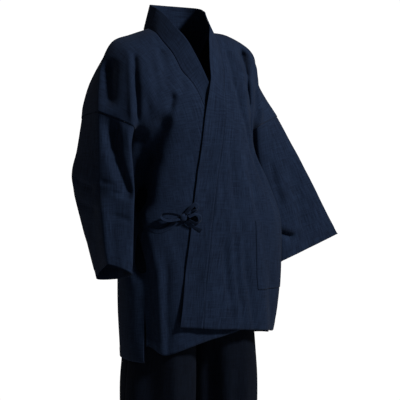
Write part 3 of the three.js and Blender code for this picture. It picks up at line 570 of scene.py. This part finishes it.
def front_point(side, u, v):
    """A front: v from 0 at the shoulder fold to 1 at the armpit's level and 2 at the hem."""
    yoke = patch(
        u, np.clip(v, 0, 1), lambda t: shoulder_fold(side, t), lambda t: chest_front(side, t),
        lambda t: neckline(side, "seam", t), lambda t: sleeve_point(side, 0.0, t / 2),
        YOKE_CROWN["front"][side],
    )
    share = np.clip(v - 1, 0, 1)
    level = mix(chest_level(u), front_hem(side, (1 - u) * SEAM_SHARE), share)
    z = level + hem_curl(side, u, level)
    start = angle_at(column(WRAP, f"seam_{side_name(side)}", z), z)
    skirt = tucked(trunk(mix(start, side_angle(side, z) - slit(side, z), u), z), u, share * TUCK_FADE)
    return np.where((v <= 1)[..., None], yoke, skirt)


NECK_SHARE = 4 / 15  # part of a back's top edge that lies on the collar


def back_top(side, u):
    """A back's top edge: along the collar's seam, then out along the shoulder fold."""
    nape = through(mirrored(COLLAR_SEAM[:NECK_POINT_ROW + 1], side), np.clip(u / NECK_SHARE, 0, 1))
    fold = shoulder_fold(side, np.clip((u - NECK_SHARE) / (1 - NECK_SHARE), 0, 1))
    return np.where((u < NECK_SHARE)[..., None], nape, fold)


def back_point(side, u, v):
    """A back: v runs as on a front, u from the centre back to the side."""
    yoke = patch(
        u, np.clip(v, 0, 1), lambda t: back_top(side, t), lambda t: chest_back(side, t),
        lambda t: through(BACK_SEAM, t), lambda t: sleeve_point(side, 0.0, -t / 2),
        YOKE_CROWN["back"][side],
    )
    share = np.clip(v - 1, 0, 1)
    hem = mix(HEM["middle"], HEM[side]["side"], u)
    z = mix(chest_level(u), hem, share)
    skirt = trunk(mix(math.pi * side, side_angle(side, z) + slit(side, z), u), z)
    return np.where((v <= 1)[..., None], yoke, skirt)


def crotch_angle(z):
    """Angle round a trouser section at which it meets the middle: a right angle at the waist, 0 on a leg."""
    share = np.clip(column(LEG, "middle", z) / column(LEG, "reach", z), 0, 1)
    return np.arccos(share ** (1 / LEG_SQUARENESS))


def leg_point(side, front, u, z):
    """Half a superellipse from the middle seam round to the side seam: half the seat above, a leg below."""
    angle = mix(crotch_angle(z), math.pi, u)
    centre = column(LEG, "centre", z)
    depth = centre - column(LEG, "front", z) if front else column(LEG, "back", z) - centre
    x = column(LEG, "middle", z) - column(LEG, "reach", z) * power(np.cos(angle), LEG_SQUARENESS)
    y = centre + (-1 if front else 1) * depth * power(np.sin(angle), LEG_SQUARENESS)
    return stack(side * np.maximum(x, LEG_SEAM), y, z)


# ---- grids and meshes --------------------------------------------------------------------------------
def lattice(columns, rows, u=(0, 1), v=(0, 1)):
    """Two arrays of the parameters, a row for each step of v."""
    return np.meshgrid(np.linspace(*u, columns + 1), np.linspace(*v, rows + 1))


def normals_of(grid, flipped):
    """Unit normals of a grid from its two differences."""
    across, down = np.gradient(grid, axis=1), np.gradient(grid, axis=0)
    normal = np.cross(down, across) if flipped else np.cross(across, down)
    return normal / np.maximum(np.linalg.norm(normal, axis=-1, keepdims=True), 1e-9)


def spread(grid, width, length):
    """Cut coordinates of a grid in metres, across and along the grain."""
    rows, columns = grid.shape[:2]
    u, v = lattice(columns - 1, rows - 1)
    return np.stack((u * width, v * length), axis=-1) * MM


def quads(rows, columns, start, flipped):
    """A grid's faces, wound the other way where flipped."""
    ids = start + np.arange(rows * columns).reshape(rows, columns)
    a, b, c, d = ids[:-1, :-1], ids[:-1, 1:], ids[1:, 1:], ids[1:, :-1]
    order = (a, b, c, d) if flipped else (a, d, c, b)
    return np.stack(order, axis=-1).reshape(-1, 4)


def make_mesh(name, parts, weld=0.02):
    """Joins grids (points, cut coordinates, flipped) into one mesh and welds the edges that they share."""
    points, coords, faces, start = [], [], [], 0
    for grid, uv, flipped in parts:
        rows, columns = grid.shape[:2]
        faces.append(quads(rows, columns, start, flipped))
        points.append(grid.reshape(-1, 3))
        coords.append(uv.reshape(-1, 2))
        start += rows * columns
    points, coords, faces = np.concatenate(points) * MM, np.concatenate(coords), np.concatenate(faces)
    mesh = bpy.data.meshes.new(name)
    mesh.from_pydata(points.tolist(), [], faces.tolist())
    layer = mesh.uv_layers.new(name="cut")
    layer.data.foreach_set("uv", coords[faces.reshape(-1)].astype(np.float32).reshape(-1))
    bm = bmesh.new()
    bm.from_mesh(mesh)
    bmesh.ops.remove_doubles(bm, verts=bm.verts, dist=weld * MM)
    bmesh.ops.dissolve_degenerate(bm, dist=1e-6, edges=bm.edges)
    for face in bm.faces:
        face.smooth = True
    bm.to_mesh(mesh)
    bm.free()
    obj = bpy.data.objects.new(name, mesh)
    bpy.context.collection.objects.link(obj)
    return obj


def thicken(obj, thickness):
    """Gives a sheet its cloth's thickness, inwards."""
    modifier = obj.modifiers.new("cloth", "SOLIDIFY")
    modifier.thickness = thickness * MM
    modifier.offset = -1
    modifier.use_rim = True


def dress(obj, material, slot, node, flat, held="hung", area=None):
    """Gives a piece its finish, hangs it from the root and hides the part that it stands in for."""
    obj.data.materials.append(material)
    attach(obj, "root")
    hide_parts(node)


# ---- stitches ----------------------------------------------------------------------------------------
def hem_line(grid, normal, above):
    """Where each column of a grid lies a distance above its last row, with the normals there."""
    length = np.cumsum(np.linalg.norm(np.diff(grid, axis=0), axis=-1), axis=0)
    left = length[-1] - np.concatenate((np.zeros_like(length[:1]), length))
    columns = np.arange(grid.shape[1])
    row = (left > above).sum(axis=0) - 1
    here, below = left[row, columns], left[row + 1, columns]
    share = ((here - above) / (here - below))[:, None]
    return tuple(mix(field[row, columns], field[row + 1, columns], share) for field in (grid, normal))


THREAD_RINGS = 5
THREAD_CORNERS = np.radians((45, 135, 225, 315))


def thread_row(line, normal):
    """Stitches along a line: each is a four-sided thread of radius r that rises out of the cloth, runs a
    stitch's length and dives again, at heights 1.5 r sin(pi s) - r / 2. Gives points as stitch, ring,
    corner."""
    length = np.concatenate(([0], np.cumsum(np.linalg.norm(np.diff(line, axis=0), axis=-1))))
    pitch = STITCH["length"] + STITCH["gap"]
    starts = np.arange(STITCH["gap"], length[-1] - STITCH["length"], pitch)
    rings = np.linspace(0, 1, THREAD_RINGS)
    at = starts[:, None] + rings * STITCH["length"]
    place = np.stack([np.interp(at, length, line[:, axis]) for axis in range(3)], axis=-1)
    up = np.stack([np.interp(at, length, normal[:, axis]) for axis in range(3)], axis=-1)
    up /= np.linalg.norm(up, axis=-1, keepdims=True)
    along = place[:, -1:] - place[:, :1]
    along = along / np.linalg.norm(along, axis=-1, keepdims=True)
    across = np.cross(along, up)
    radius = STITCH["radius"]
    centre = place + up * (1.5 * radius * np.sin(math.pi * rings) - 0.5 * radius)[None, :, None]
    turn = THREAD_CORNERS[:, None]
    return centre[:, :, None] + radius * (across[:, :, None] * np.cos(turn) + up[:, :, None] * np.sin(turn))


def make_stitches(name, rows, node, material):
    """One mesh of all the stitches on a piece; the faces join each ring's corners to the next ring's."""
    blocks = np.concatenate([thread_row(*row) for row in rows])
    ids = np.arange(blocks[..., 0].size).reshape(blocks.shape[:3])
    after = np.roll(ids, -1, axis=2)
    faces = np.stack((ids[:, :-1], ids[:, 1:], after[:, 1:], after[:, :-1]), axis=-1).reshape(-1, 4)
    mesh = bpy.data.meshes.new(name)
    mesh.from_pydata((blocks.reshape(-1, 3) * MM).tolist(), [], faces.tolist())
    mesh.shade_smooth()
    mesh.materials.append(material)
    obj = bpy.data.objects.new(name, mesh)
    bpy.context.collection.objects.link(obj)
    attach(obj, "root")
    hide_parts(node)


# ---- the cloth's finish ------------------------------------------------------------------------------
def node_group(name, inputs, outputs):
    """An empty shader group with named sockets."""
    tree = bpy.data.node_groups.new(name, "ShaderNodeTree")
    for label, kind, default in inputs:
        socket = tree.interface.new_socket(name=label, in_out="INPUT", socket_type=kind)
        if default is not None:
            socket.default_value = default
    for label, kind in outputs:
        tree.interface.new_socket(name=label, in_out="OUTPUT", socket_type=kind)
    return tree, tree.nodes.new("NodeGroupInput"), tree.nodes.new("NodeGroupOutput")


def math_node(tree, operation, a, b=None, clamp=False):
    """A sum, product or difference of two sockets or numbers."""
    node = tree.nodes.new("ShaderNodeMath")
    node.operation = operation
    node.use_clamp = clamp
    for socket, value in zip(node.inputs, (a, b)):
        if isinstance(value, (int, float)):
            socket.default_value = value
        elif value is not None:
            tree.links.new(value, socket)
    return node.outputs[0]


def blended(tree, a, b, share):
    """a (1 - share) + b share, of two heights."""
    kept, added = math_node(tree, "MULTIPLY", a, 1 - share), math_node(tree, "MULTIPLY", b, share)
    return math_node(tree, "ADD", kept, added)


def streaks(tree, vector, stretch, detail, roughness=0.55):
    """Noise drawn out along one direction: the vector is scaled before the noise."""
    mapping = tree.nodes.new("ShaderNodeMapping")
    mapping.inputs["Scale"].default_value = stretch
    tree.links.new(vector, mapping.inputs["Vector"])
    noise = tree.nodes.new("ShaderNodeTexNoise")
    noise.inputs["Scale"].default_value = 1.0
    noise.inputs["Detail"].default_value = detail
    noise.inputs["Roughness"].default_value = roughness
    tree.links.new(mapping.outputs[0], noise.inputs["Vector"])
    return noise.outputs["Fac"]


# Repeats to a metre along and across the warp, and the noise's detail and roughness.
WARP_SLUBS = dict(stretch=(520, 22, 1), detail=3.0)
WEFT_SLUBS = dict(stretch=(30, 430, 1), detail=3.0)
YARN_GRAIN = dict(stretch=(900, 700, 1), detail=2.0, roughness=0.7)
DYE_CLOUDS = dict(stretch=(16, 9, 1), detail=3.0)
WARP_SHARE, YARN_SHARE, DYE_SHARE = 0.6, 0.28, 0.5
SLUB_THIN, SLUB_THICK = 0.38, 0.63  # heights at which the yarn is deepest and palest
ROUGH, SLUB_SHINE = 0.95, 0.1


def slub_weave_group():
    """Slubbed plain weave: long thick places along the warp, shorter ones along the weft, a fine yarn
    grid and a slow unevenness of the dye. Gives a colour, a height and a roughness."""
    tree, source, sink = node_group(
        "slub_weave",
        [("Vector", "NodeSocketVector", None), ("Deep", "NodeSocketColor", (0, 0, 0, 1)),
         ("Pale", "NodeSocketColor", (1, 1, 1, 1)), ("Slubs", "NodeSocketFloat", 1.0)],
        [("Color", "NodeSocketColor"), ("Height", "NodeSocketFloat"), ("Roughness", "NodeSocketFloat")],
    )
    vector = source.outputs["Vector"]
    warp = streaks(tree, vector, **WARP_SLUBS)
    weft = streaks(tree, vector, **WEFT_SLUBS)
    yarn = streaks(tree, vector, **YARN_GRAIN)
    dye = streaks(tree, vector, **DYE_CLOUDS)
    thick = blended(tree, weft, warp, WARP_SHARE)
    fine = blended(tree, thick, yarn, YARN_SHARE)
    ramp = tree.nodes.new("ShaderNodeMapRange")
    ramp.inputs["From Min"].default_value = SLUB_THIN
    ramp.inputs["From Max"].default_value = SLUB_THICK
    tree.links.new(fine, ramp.inputs["Value"])
    slubs = math_node(tree, "MULTIPLY", ramp.outputs[0], source.outputs["Slubs"], clamp=True)
    clouds = math_node(tree, "MULTIPLY", math_node(tree, "SUBTRACT", dye, 0.5), DYE_SHARE)
    shade = math_node(tree, "ADD", slubs, clouds, clamp=True)
    blend = tree.nodes.new("ShaderNodeMix")
    blend.data_type = "RGBA"
    tree.links.new(shade, blend.inputs["Factor"])
    tree.links.new(source.outputs["Deep"], blend.inputs["A"])
    tree.links.new(source.outputs["Pale"], blend.inputs["B"])
    tree.links.new(blend.outputs["Result"], sink.inputs["Color"])
    tree.links.new(fine, sink.inputs["Height"])
    rough = math_node(tree, "ADD", math_node(tree, "MULTIPLY", slubs, -SLUB_SHINE), ROUGH)
    tree.links.new(rough, sink.inputs["Roughness"])
    return tree


NAVY_DEEP = (0.0036, 0.0078, 0.0212, 1)
NAVY_PALE = (0.0148, 0.0296, 0.0685, 1)
TROUSER_PAINTED_SHADE = 0.33  # painted shade: the trousers' colours and sheen are scaled down by this, for the shade they hang in below the jacket
YARN_RELIEF = 0.6
SHEEN = dict(weight=0.04, roughness=0.5, tint=(0.75, 0.8, 1, 1))


def cloth_material(name, weave, slubs=1.0, bump=0.5, shade=1.0):
    """Navy cotton: the weave's colour, roughness and height on a cloth shader with a soft sheen. A shade
    below 1 scales the colours and the sheen down as painted shade.
    """
    material = bpy.data.materials.new(name)
    material.use_nodes = True
    tree = material.node_tree
    shader = tree.nodes["Principled BSDF"]
    coords = tree.nodes.new("ShaderNodeUVMap")
    coords.uv_map = "cut"
    group = tree.nodes.new("ShaderNodeGroup")
    group.node_tree = weave
    # painted shade: the deep and pale navy are scaled by shade
    group.inputs["Deep"].default_value = [value * shade for value in NAVY_DEEP[:3]] + [1]
    group.inputs["Pale"].default_value = [value * shade for value in NAVY_PALE[:3]] + [1]
    group.inputs["Slubs"].default_value = slubs
    tree.links.new(coords.outputs[0], group.inputs["Vector"])
    tree.links.new(group.outputs["Color"], shader.inputs["Base Color"])
    tree.links.new(group.outputs["Roughness"], shader.inputs["Roughness"])
    relief = tree.nodes.new("ShaderNodeBump")
    relief.inputs["Strength"].default_value = bump
    relief.inputs["Distance"].default_value = YARN_RELIEF * MM
    tree.links.new(group.outputs["Height"], relief.inputs["Height"])
    tree.links.new(relief.outputs[0], shader.inputs["Normal"])
    shader.inputs["Specular IOR Level"].default_value = 0.12
    # the sheen is scaled down with the painted shade as well
    shader.inputs["Sheen Weight"].default_value = SHEEN["weight"] * shade
    shader.inputs["Sheen Roughness"].default_value = SHEEN["roughness"]
    shader.inputs["Sheen Tint"].default_value = SHEEN["tint"]
    return material


THREAD_NAVY = (0.017, 0.035, 0.08, 1)
# painted shade: the navy thread scaled down by about the trousers' painted shade
TROUSER_THREAD_PAINTED_SHADE = (0.006, 0.012, 0.027, 1)
THREAD_TWIST = 900.0  # scale of the twist's bands
THREAD_SHADOW = 0.6


def thread_material(name, colour):
    """Twisted cotton thread: fine slanting bands of light and dark."""
    material = bpy.data.materials.new(name)
    material.use_nodes = True
    tree = material.node_tree
    shader = tree.nodes["Principled BSDF"]
    coords = tree.nodes.new("ShaderNodeTexCoord")
    twist = tree.nodes.new("ShaderNodeTexWave")
    twist.bands_direction = "DIAGONAL"
    twist.inputs["Scale"].default_value = THREAD_TWIST
    tree.links.new(coords.outputs["Object"], twist.inputs["Vector"])
    blend = tree.nodes.new("ShaderNodeMix")
    blend.data_type = "RGBA"
    blend.inputs["A"].default_value = [value * THREAD_SHADOW for value in colour[:3]] + [1]
    blend.inputs["B"].default_value = colour
    tree.links.new(twist.outputs["Fac"], blend.inputs["Factor"])
    tree.links.new(blend.outputs["Result"], shader.inputs["Base Color"])
    shader.inputs["Roughness"].default_value = 0.75
    shader.inputs["Specular IOR Level"].default_value = 0.2
    return material


# ---- the jacket --------------------------------------------------------------------------------------
YOKE_ROWS, SKIRT_ROWS = 60, 96
FRONT_COLUMNS, NECK_COLUMNS = 66, 24
CHEST_ROUNDS, CHEST_BAND = 14, 10  # how often, and how many rows each way, the chest row is evened
SLIT_ROWS = 26  # rows of the skirt beside the slit
ARMHOLE_START = 0.001  # share of the sleeve's length that the armhole's seam takes


def eased_chest(grid):
    """Evens the grid down the cloth just above and below the chest row: each row becomes half itself and
    a quarter of each neighbour, again and again."""
    low, high = YOKE_ROWS - CHEST_BAND, YOKE_ROWS + CHEST_BAND + 1
    for _ in range(CHEST_ROUNDS):
        middle = grid[low:high].copy()
        grid[low:high] = 0.5 * middle + 0.25 * (grid[low - 1:high - 1] + grid[low + 1:high + 1])
    return grid


def hem_fold(grid, normal):
    """Raises the last stretch of a grid's rows, where the cloth is turned up and double."""
    length = np.cumsum(np.linalg.norm(np.diff(grid, axis=0), axis=-1), axis=0)
    left = np.concatenate((length[-1:] * np.ones_like(length[:1]), length[-1:] - length), axis=0)
    return grid + normal * (HEM_STEP * ease((HEM_FOLD - left) / HEM_RAMP))[..., None]


def make_body(side, material, thread):
    """One half of the trunk, front and back in one over the shoulder, with its rows of stitches."""
    v = np.concatenate((np.linspace(0, 1, YOKE_ROWS + 1), np.linspace(1, 2, SKIRT_ROWS + 1)[1:]))
    u_front, v_front = np.meshgrid(np.linspace(0, 1, FRONT_COLUMNS + 1), v)
    u_back, v_back = np.meshgrid(np.linspace(0, 1, FRONT_COLUMNS + NECK_COLUMNS + 1), v)
    front = hang(eased_chest(front_point(side, u_front, v_front)), side > 0)
    back = hang(eased_chest(back_point(side, u_back, v_back)), False)
    back[..., 0] = side * np.maximum(back[..., 0] * side, 0.0)
    parts, rows = [], []
    for grid, flipped in ((front, side > 0), (back, side < 0)):
        grid = hem_fold(grid, normals_of(grid, flipped))
        normal = normals_of(grid, flipped)
        parts.append((grid, spread(grid, *CUT["body"]), flipped))
        rows.append(hem_line(grid, normal, STITCH_HEM))
        rows.append((grid[:YOKE_ROWS + 1, -2], normal[:YOKE_ROWS + 1, -2]))
        rows.append((grid[-SLIT_ROWS:, -3], normal[-SLIT_ROWS:, -3]))
    name = f"body_{side_name(side)}"
    obj = make_mesh(f"jacket_{name}", parts)
    thicken(obj, CLOTH)
    dress(obj, material, "jacket_cloth", name, **FLAT["body"])
    make_stitches(f"stitches_{name}", rows, name, thread)


def make_sleeve(side, material, thread):
    """A tube of rings from the armhole to the cuff, with stitches round both."""
    u, t = lattice(120, 110)
    grid = hang(sleeve_point(side, mix(ARMHOLE_START, 1.0, t), u), False)
    flipped = side > 0
    grid[:, -1] = grid[:, 0]
    grid = hem_fold(grid, normals_of(grid, flipped))
    grid[:, -1] = grid[:, 0]
    name = f"sleeve_{side_name(side)}"
    obj = make_mesh(f"jacket_{name}", [(grid, spread(grid, *CUT["sleeve"]), flipped)])
    thicken(obj, CLOTH)
    dress(obj, material, "jacket_cloth", name, **FLAT["sleeve"])
    normal = normals_of(grid, flipped)
    rows = [hem_line(grid, normal, STITCH_HEM), (grid[2], normal[2])]
    make_stitches(f"stitches_{name}", rows, name, thread)


BAND_STEPS = (24, 48, 96)  # steps along the nape, the lapel and the border of a front
CROWN_START, CROWN_RISE = -90.0, 60.0
EDGE_TURNS = np.radians(np.linspace(90, -90, 7))
FACE_SHARES = np.linspace(0.06, 1, 15)


def collar_lines():
    """The band's free edge and seam from the right hem round the neck to the left hem."""
    nape, lapel, border = (np.linspace(0, 1, count + 1) for count in BAND_STEPS)
    lines = {}
    for which, table in (("edge", COLLAR_EDGE), ("seam", COLLAR_SEAM)):
        halves = []
        for side in (-1, 1):
            neck = through(mirrored(table[:NECK_POINT_ROW + 1], side), nape)
            chest, skirt = neckline(side, which, lapel)[1:], wrap_line(side, which, border)[1:]
            halves.append(hang(np.concatenate((neck, chest, skirt)), side > 0))
        lines[which] = np.concatenate((halves[0][::-1], halves[1][1:]))
    return lines["edge"], lines["seam"]


def make_collar(material, thread):
    """A flat loop carried along the band: out over its face, round the free edge and back behind."""
    edge, seam = collar_lines()
    along = np.gradient((edge + seam) / 2, axis=0)
    across = seam - edge
    normal = np.cross(across, along)
    normal /= np.linalg.norm(normal, axis=-1, keepdims=True)
    half = BAND_CLOTH / 2
    crown = BAND_CROWN * ease((CROWN_START - edge[:, 2:3]) / CROWN_RISE)
    width = np.linalg.norm(across, axis=-1, keepdims=True)
    unit = across / width

    def at(distance, height):
        """Points a distance in from the free edge and a height off the band's chord, on its crown."""
        share = distance / width
        return edge + unit * distance + normal * (height + crown * 4 * share * (1 - share))

    outer = [at(width * share, BAND_PROUD) for share in FACE_SHARES[::-1]]
    fold = [at(half * (1 - np.cos(turn)), BAND_PROUD - half + half * np.sin(turn)) for turn in EDGE_TURNS]
    inner = [at(width * share, BAND_PROUD - BAND_CLOTH) for share in FACE_SHARES]
    grid = np.stack(outer + fold + inner + outer[:1], axis=1)
    obj = make_mesh("jacket_collar_band", [(grid, spread(grid, *CUT["band"]), True)])
    close_ends(obj)
    dress(obj, material, "band_cloth", "collar_band", **FLAT["band"])
    rows = [(grid[:, index], normal) for index in (1, 13)]
    make_stitches("stitches_collar_band", rows, "collar_band", thread)


def close_ends(obj):
    """Caps the open ends of a tube and turns its faces out."""
    bm = bmesh.new()
    bm.from_mesh(obj.data)
    rims = [edge for edge in bm.edges if edge.is_boundary]
    bmesh.ops.holes_fill(bm, edges=rims)
    bmesh.ops.recalc_face_normals(bm, faces=bm.faces)
    bm.to_mesh(obj.data)
    bm.free()


def on_front(x, z, lift, lapped):
    """Places a lift above the front's cloth, at x from the middle and level z."""
    base = trunk(angle_at(x, z), z)
    return hang(base, lapped) + outward(base) * np.asarray(lift, float)[..., None]


def make_pocket(material, thread):
    """A flat patch that follows the left front, stitched on three sides and along its turned top."""
    u, v = lattice(40, 56)
    x = mix(POCKET["left"], POCKET["right"], u)
    z = mix(POCKET["top"], POCKET["bottom"], v) - POCKET["rise"] * u
    grid = on_front(x, z, np.full_like(x, POCKET["lift"]), True)
    obj = make_mesh("jacket_pocket", [(grid, spread(grid, *CUT["pocket"]), True)])
    thicken(obj, CLOTH)
    dress(obj, material, "jacket_cloth", "pocket_left", **FLAT["pocket"])
    normal = normals_of(grid, True)
    rows = [(grid[:, index], normal[:, index]) for index in (1, -2)]
    rows += [(grid[index], normal[index]) for index in (-2, 7)]
    make_stitches("stitches_pocket_left", rows, "pocket_left", thread)


# ---- ties --------------------------------------------------------------------------------------------
TIES = {
    "tie_side": [(-157, -471, 1.7), (-146, -484, 2.3), (-132, -489, 2.6), (-112, -481, 4),
                 (-88.3, -464, 7.5)],
    "tie_outer": [(-44, -440, 7.6), (-54, -444, 7.6), (-69, -452, 9.5)],
    "bow_loop_right": [(-68, -455, 15), (-52, -449, 16), (-38, -453, 16), (-37, -464, 16),
                       (-50, -472, 15.2), (-67.6, -463.6, 14.2)],
    "bow_loop_upper": [(-74, -448.6, 14), (-62, -434, 17), (-50, -424, 18), (-43, -429, 19),
                       (-48, -440, 19), (-60, -443, 19)],
    "bow_loop_left": [(-86.4, -453.4, 14.5), (-106, -448, 15), (-122, -449.6, 14.5), (-124, -457, 14),
                      (-111, -463, 14), (-87, -459.6, 13.6)],
    "bow_tail": [(-73, -466.6, 7), (-56, -480, 7.8), (-34, -489, 8.6)],
    "tie_under": [(-160, -492, 1.8), (-162, -508, 2.0), (-159, -532, 2.2)],
}
TWISTS = {"loop": 58.0, "tail": -32.0}  # degrees that a strip is turned off the cloth below it
TIE_STEPS, TIE_CORNERS = 60, 16
TIE_FLATNESS, TIE_ROUNDNESS = 0.5, 0.8  # powers of the section's sines across it and through it
KNOT_STRIP = 46.0  # length of the strip that shows round the knot
KNOT_RIDGES = dict(height=0.1, count=3, slant=2.4)
KNOT_POLE = 0.02


def strip_loop(path, width, thickness, twist):
    """A flat rounded section carried along a path, its face turned out from the trunk or twisted off it."""
    along = np.gradient(path, axis=0)
    along /= np.linalg.norm(along, axis=-1, keepdims=True)
    out = outward(path)
    across = np.cross(along, out)
    across /= np.linalg.norm(across, axis=-1, keepdims=True)
    across = across * math.cos(math.radians(twist)) + out * math.sin(math.radians(twist))
    face = np.cross(across, along)
    turn = np.linspace(0, 2 * math.pi, TIE_CORNERS + 1)
    wide = (power(np.cos(turn), TIE_FLATNESS) * width / 2)[None, :, None]
    deep = ((power(np.sin(turn), TIE_ROUNDNESS) - 1) * thickness / 2)[None, :, None]
    return path[:, None] + across[:, None] * wide + face[:, None] * deep


def make_ties(material):
    """Each tie's strip along its own curve, through places a lift above the right front."""
    for name, places in TIES.items():
        x, z, lift = np.array(places, float).T
        path = through(on_front(x, z, lift, False), np.linspace(0, 1, TIE_STEPS))
        twist = sum(value for word, value in TWISTS.items() if word in name)
        grid = strip_loop(path, TIE_WIDTH, TIE_CLOTH, twist)
        length = np.linalg.norm(np.diff(path, axis=0), axis=-1).sum()
        obj = make_mesh(f"jacket_{name}", [(grid, spread(grid, TIE_GIRTH, length), True)])
        close_ends(obj)
        dress(obj, material, "tie_cloth", name, (TIE_WIDTH * MM, length * MM), held="gathered")


def make_knot(material):
    """An ellipsoid with slanting ridges where the strip wraps over itself: its radius swells by a cosine
    of the turn that slants with the rise."""
    turn, rise = lattice(48, 32, (0, 2 * math.pi), (KNOT_POLE, math.pi - KNOT_POLE))
    slanted = KNOT_RIDGES["count"] * turn + KNOT_RIDGES["slant"] * np.cos(rise)
    radius = 1 + KNOT_RIDGES["height"] * np.cos(slanted) * np.sin(rise) ** 2
    ball = stack(np.cos(rise), np.sin(rise) * np.cos(turn), np.sin(rise) * np.sin(turn))
    local = ball * radius[..., None] * KNOT["half"]
    centre = on_front(np.array(KNOT["x"]), np.array(KNOT["z"]), np.array(KNOT["lift"]), False)
    local[:, -1] = local[:, 0]
    obj = make_mesh("jacket_bow_knot", [(local + centre, spread(local, *CUT["knot"]), False)])
    close_ends(obj)
    dress(obj, material, "tie_cloth", "bow_knot", (TIE_WIDTH * MM, KNOT_STRIP * MM), held="gathered")


# ---- the trousers ------------------------------------------------------------------------------------
def make_trouser_panel(side, front, material, thread):
    """A panel from the waistband to the hem, u from the inner seam round to the side seam."""
    u, v = lattice(48, 150)
    z = mix(LEG["z"][0] - WAISTBAND_DEPTH, LEG["z"][-1], v)
    grid = hang(leg_point(side, front, u, z), False, legs=True)
    flipped = (side > 0) == front
    grid = hem_fold(grid, normals_of(grid, flipped))
    name = f"trouser_{'front' if front else 'back'}_{side_name(side)}"
    obj = make_mesh(f"cloth_{name}", [(grid, spread(grid, *CUT["trousers"]), flipped)])
    thicken(obj, CLOTH)
    dress(obj, material, "trouser_cloth", name, **FLAT["trousers"])
    normal = normals_of(grid, flipped)
    rows = [hem_line(grid, normal, STITCH_HEM), (grid[:, -2], normal[:, -2])]
    make_stitches(f"stitches_{name}", rows, name, thread)


def make_waistband(material):
    """A loop round the trousers' top: turn runs from the front's middle over the left side, the back and
    the right side, and along from 0 at a middle to 1 at a side."""
    turn, v = lattice(160, 6)
    side = np.where(turn < 0.5, 1, -1)
    along = 1 - np.abs(1 - 4 * np.mod(turn, 0.5))
    z = mix(LEG["z"][0], LEG["z"][0] - WAISTBAND_DEPTH + WAISTBAND_GAP, v)
    in_front = (np.abs(turn - 0.5) > 0.25)[..., None]
    grid = np.where(in_front, leg_point(1, True, along, z), leg_point(1, False, along, z))
    grid[..., 0] = side * np.where(along < 1e-6, 0, grid[..., 0])
    grid[:, -1] = grid[:, 0]
    obj = make_mesh("cloth_waistband", [(grid, spread(grid, *CUT["waistband"]), True)])
    thicken(obj, WAISTBAND_CLOTH)
    dress(obj, material, "trouser_cloth", "waistband", **FLAT["waistband"])


# ---- light and floor ---------------------------------------------------------------------------------
FLOOR_LEVEL = -1470.0
FLOOR_RADIUS, FLOOR_CORNERS = 1600.0, 96
FLOOR_PAINT = dict(colour=(0.85, 0.85, 0.85, 1), roughness=0.8)
AMBIENT, BACKDROP = 0.062, 1.05  # the white surround's strength on the cloth and behind it
LIGHT_AIM = (0, 0, -0.4)
KEY_LIGHT = dict(place=(0.84, -1.6, 0.84), size=0.36, watts=36, colour=(1, 1, 1))
FILL_LIGHT = dict(place=(-1.5, 1.4, 0.5), size=0.5, watts=2.4, colour=(1, 0.92, 0.84))


def area_light(name, place, size, watts, colour):
    """A round lamp at a place in metres, turned to the jacket's middle."""
    data = bpy.data.lights.new(name, "AREA")
    data.shape = "DISK"
    data.size = size
    data.energy = watts
    data.color = colour
    obj = bpy.data.objects.new(name, data)
    bpy.context.collection.objects.link(obj)
    obj.location = place
    obj.rotation_euler = (Vector(LIGHT_AIM) - Vector(place)).to_track_quat("-Z", "Y").to_euler()


def white_surround():
    """A white backdrop that lights the cloth only faintly."""
    world = bpy.data.worlds.new("studio")
    bpy.context.scene.world = world
    bpy.context.scene.view_settings.view_transform = "Standard"
    world.use_nodes = True
    tree = world.node_tree
    background = tree.nodes["Background"]
    background.inputs["Color"].default_value = (1, 1, 1, 1)
    path = tree.nodes.new("ShaderNodeLightPath")
    strength = tree.nodes.new("ShaderNodeMapRange")
    strength.inputs["To Min"].default_value = AMBIENT
    strength.inputs["To Max"].default_value = BACKDROP
    tree.links.new(path.outputs["Is Camera Ray"], strength.inputs["Value"])
    tree.links.new(strength.outputs[0], background.inputs["Strength"])


def make_floor():
    """A pale disc below the hems."""
    mesh = bpy.data.meshes.new("floor")
    turn = np.linspace(0, 2 * math.pi, FLOOR_CORNERS, endpoint=False)
    rim = stack(FLOOR_RADIUS * np.cos(turn), FLOOR_RADIUS * np.sin(turn), FLOOR_LEVEL)
    mesh.from_pydata((rim * MM).tolist(), [], [list(range(FLOOR_CORNERS))])
    floor = bpy.data.objects.new("floor", mesh)
    bpy.context.collection.objects.link(floor)
    paint = bpy.data.materials.new("floor_white")
    paint.use_nodes = True
    shader = paint.node_tree.nodes["Principled BSDF"]
    shader.inputs["Base Color"].default_value = FLOOR_PAINT["colour"]
    shader.inputs["Roughness"].default_value = FLOOR_PAINT["roughness"]
    mesh.materials.append(paint)


# ---- assembly ----------------------------------------------------------------------------------------
add_camera()
weave = slub_weave_group()
jacket_cloth = cloth_material("navy_slub_cotton", weave)
band_cloth = cloth_material("navy_slub_cotton_band", weave, 0.95)
tie_cloth = cloth_material("navy_slub_cotton_tie", weave, 1.0, 0.4)
# the trousers: the same cloth, darkened by painted shade
trouser_cloth = cloth_material("navy_slub_cotton_trousers_painted_shade", weave, 0.8, shade=TROUSER_PAINTED_SHADE)
thread = thread_material("navy_thread", THREAD_NAVY)
# and a thread darkened by the same painted shade
trouser_thread = thread_material("navy_thread_trousers_painted_shade", TROUSER_THREAD_PAINTED_SHADE)

for side in (-1, 1):
    make_body(side, jacket_cloth, thread)
    make_sleeve(side, jacket_cloth, thread)
    for front in (True, False):
        make_trouser_panel(side, front, trouser_cloth, trouser_thread)
make_collar(band_cloth, thread)
make_pocket(jacket_cloth, thread)
make_ties(tie_cloth)
make_knot(tie_cloth)
make_waistband(trouser_cloth)
white_surround()
area_light("key", **KEY_LIGHT)
area_light("fill", **FILL_LIGHT)
make_floor()
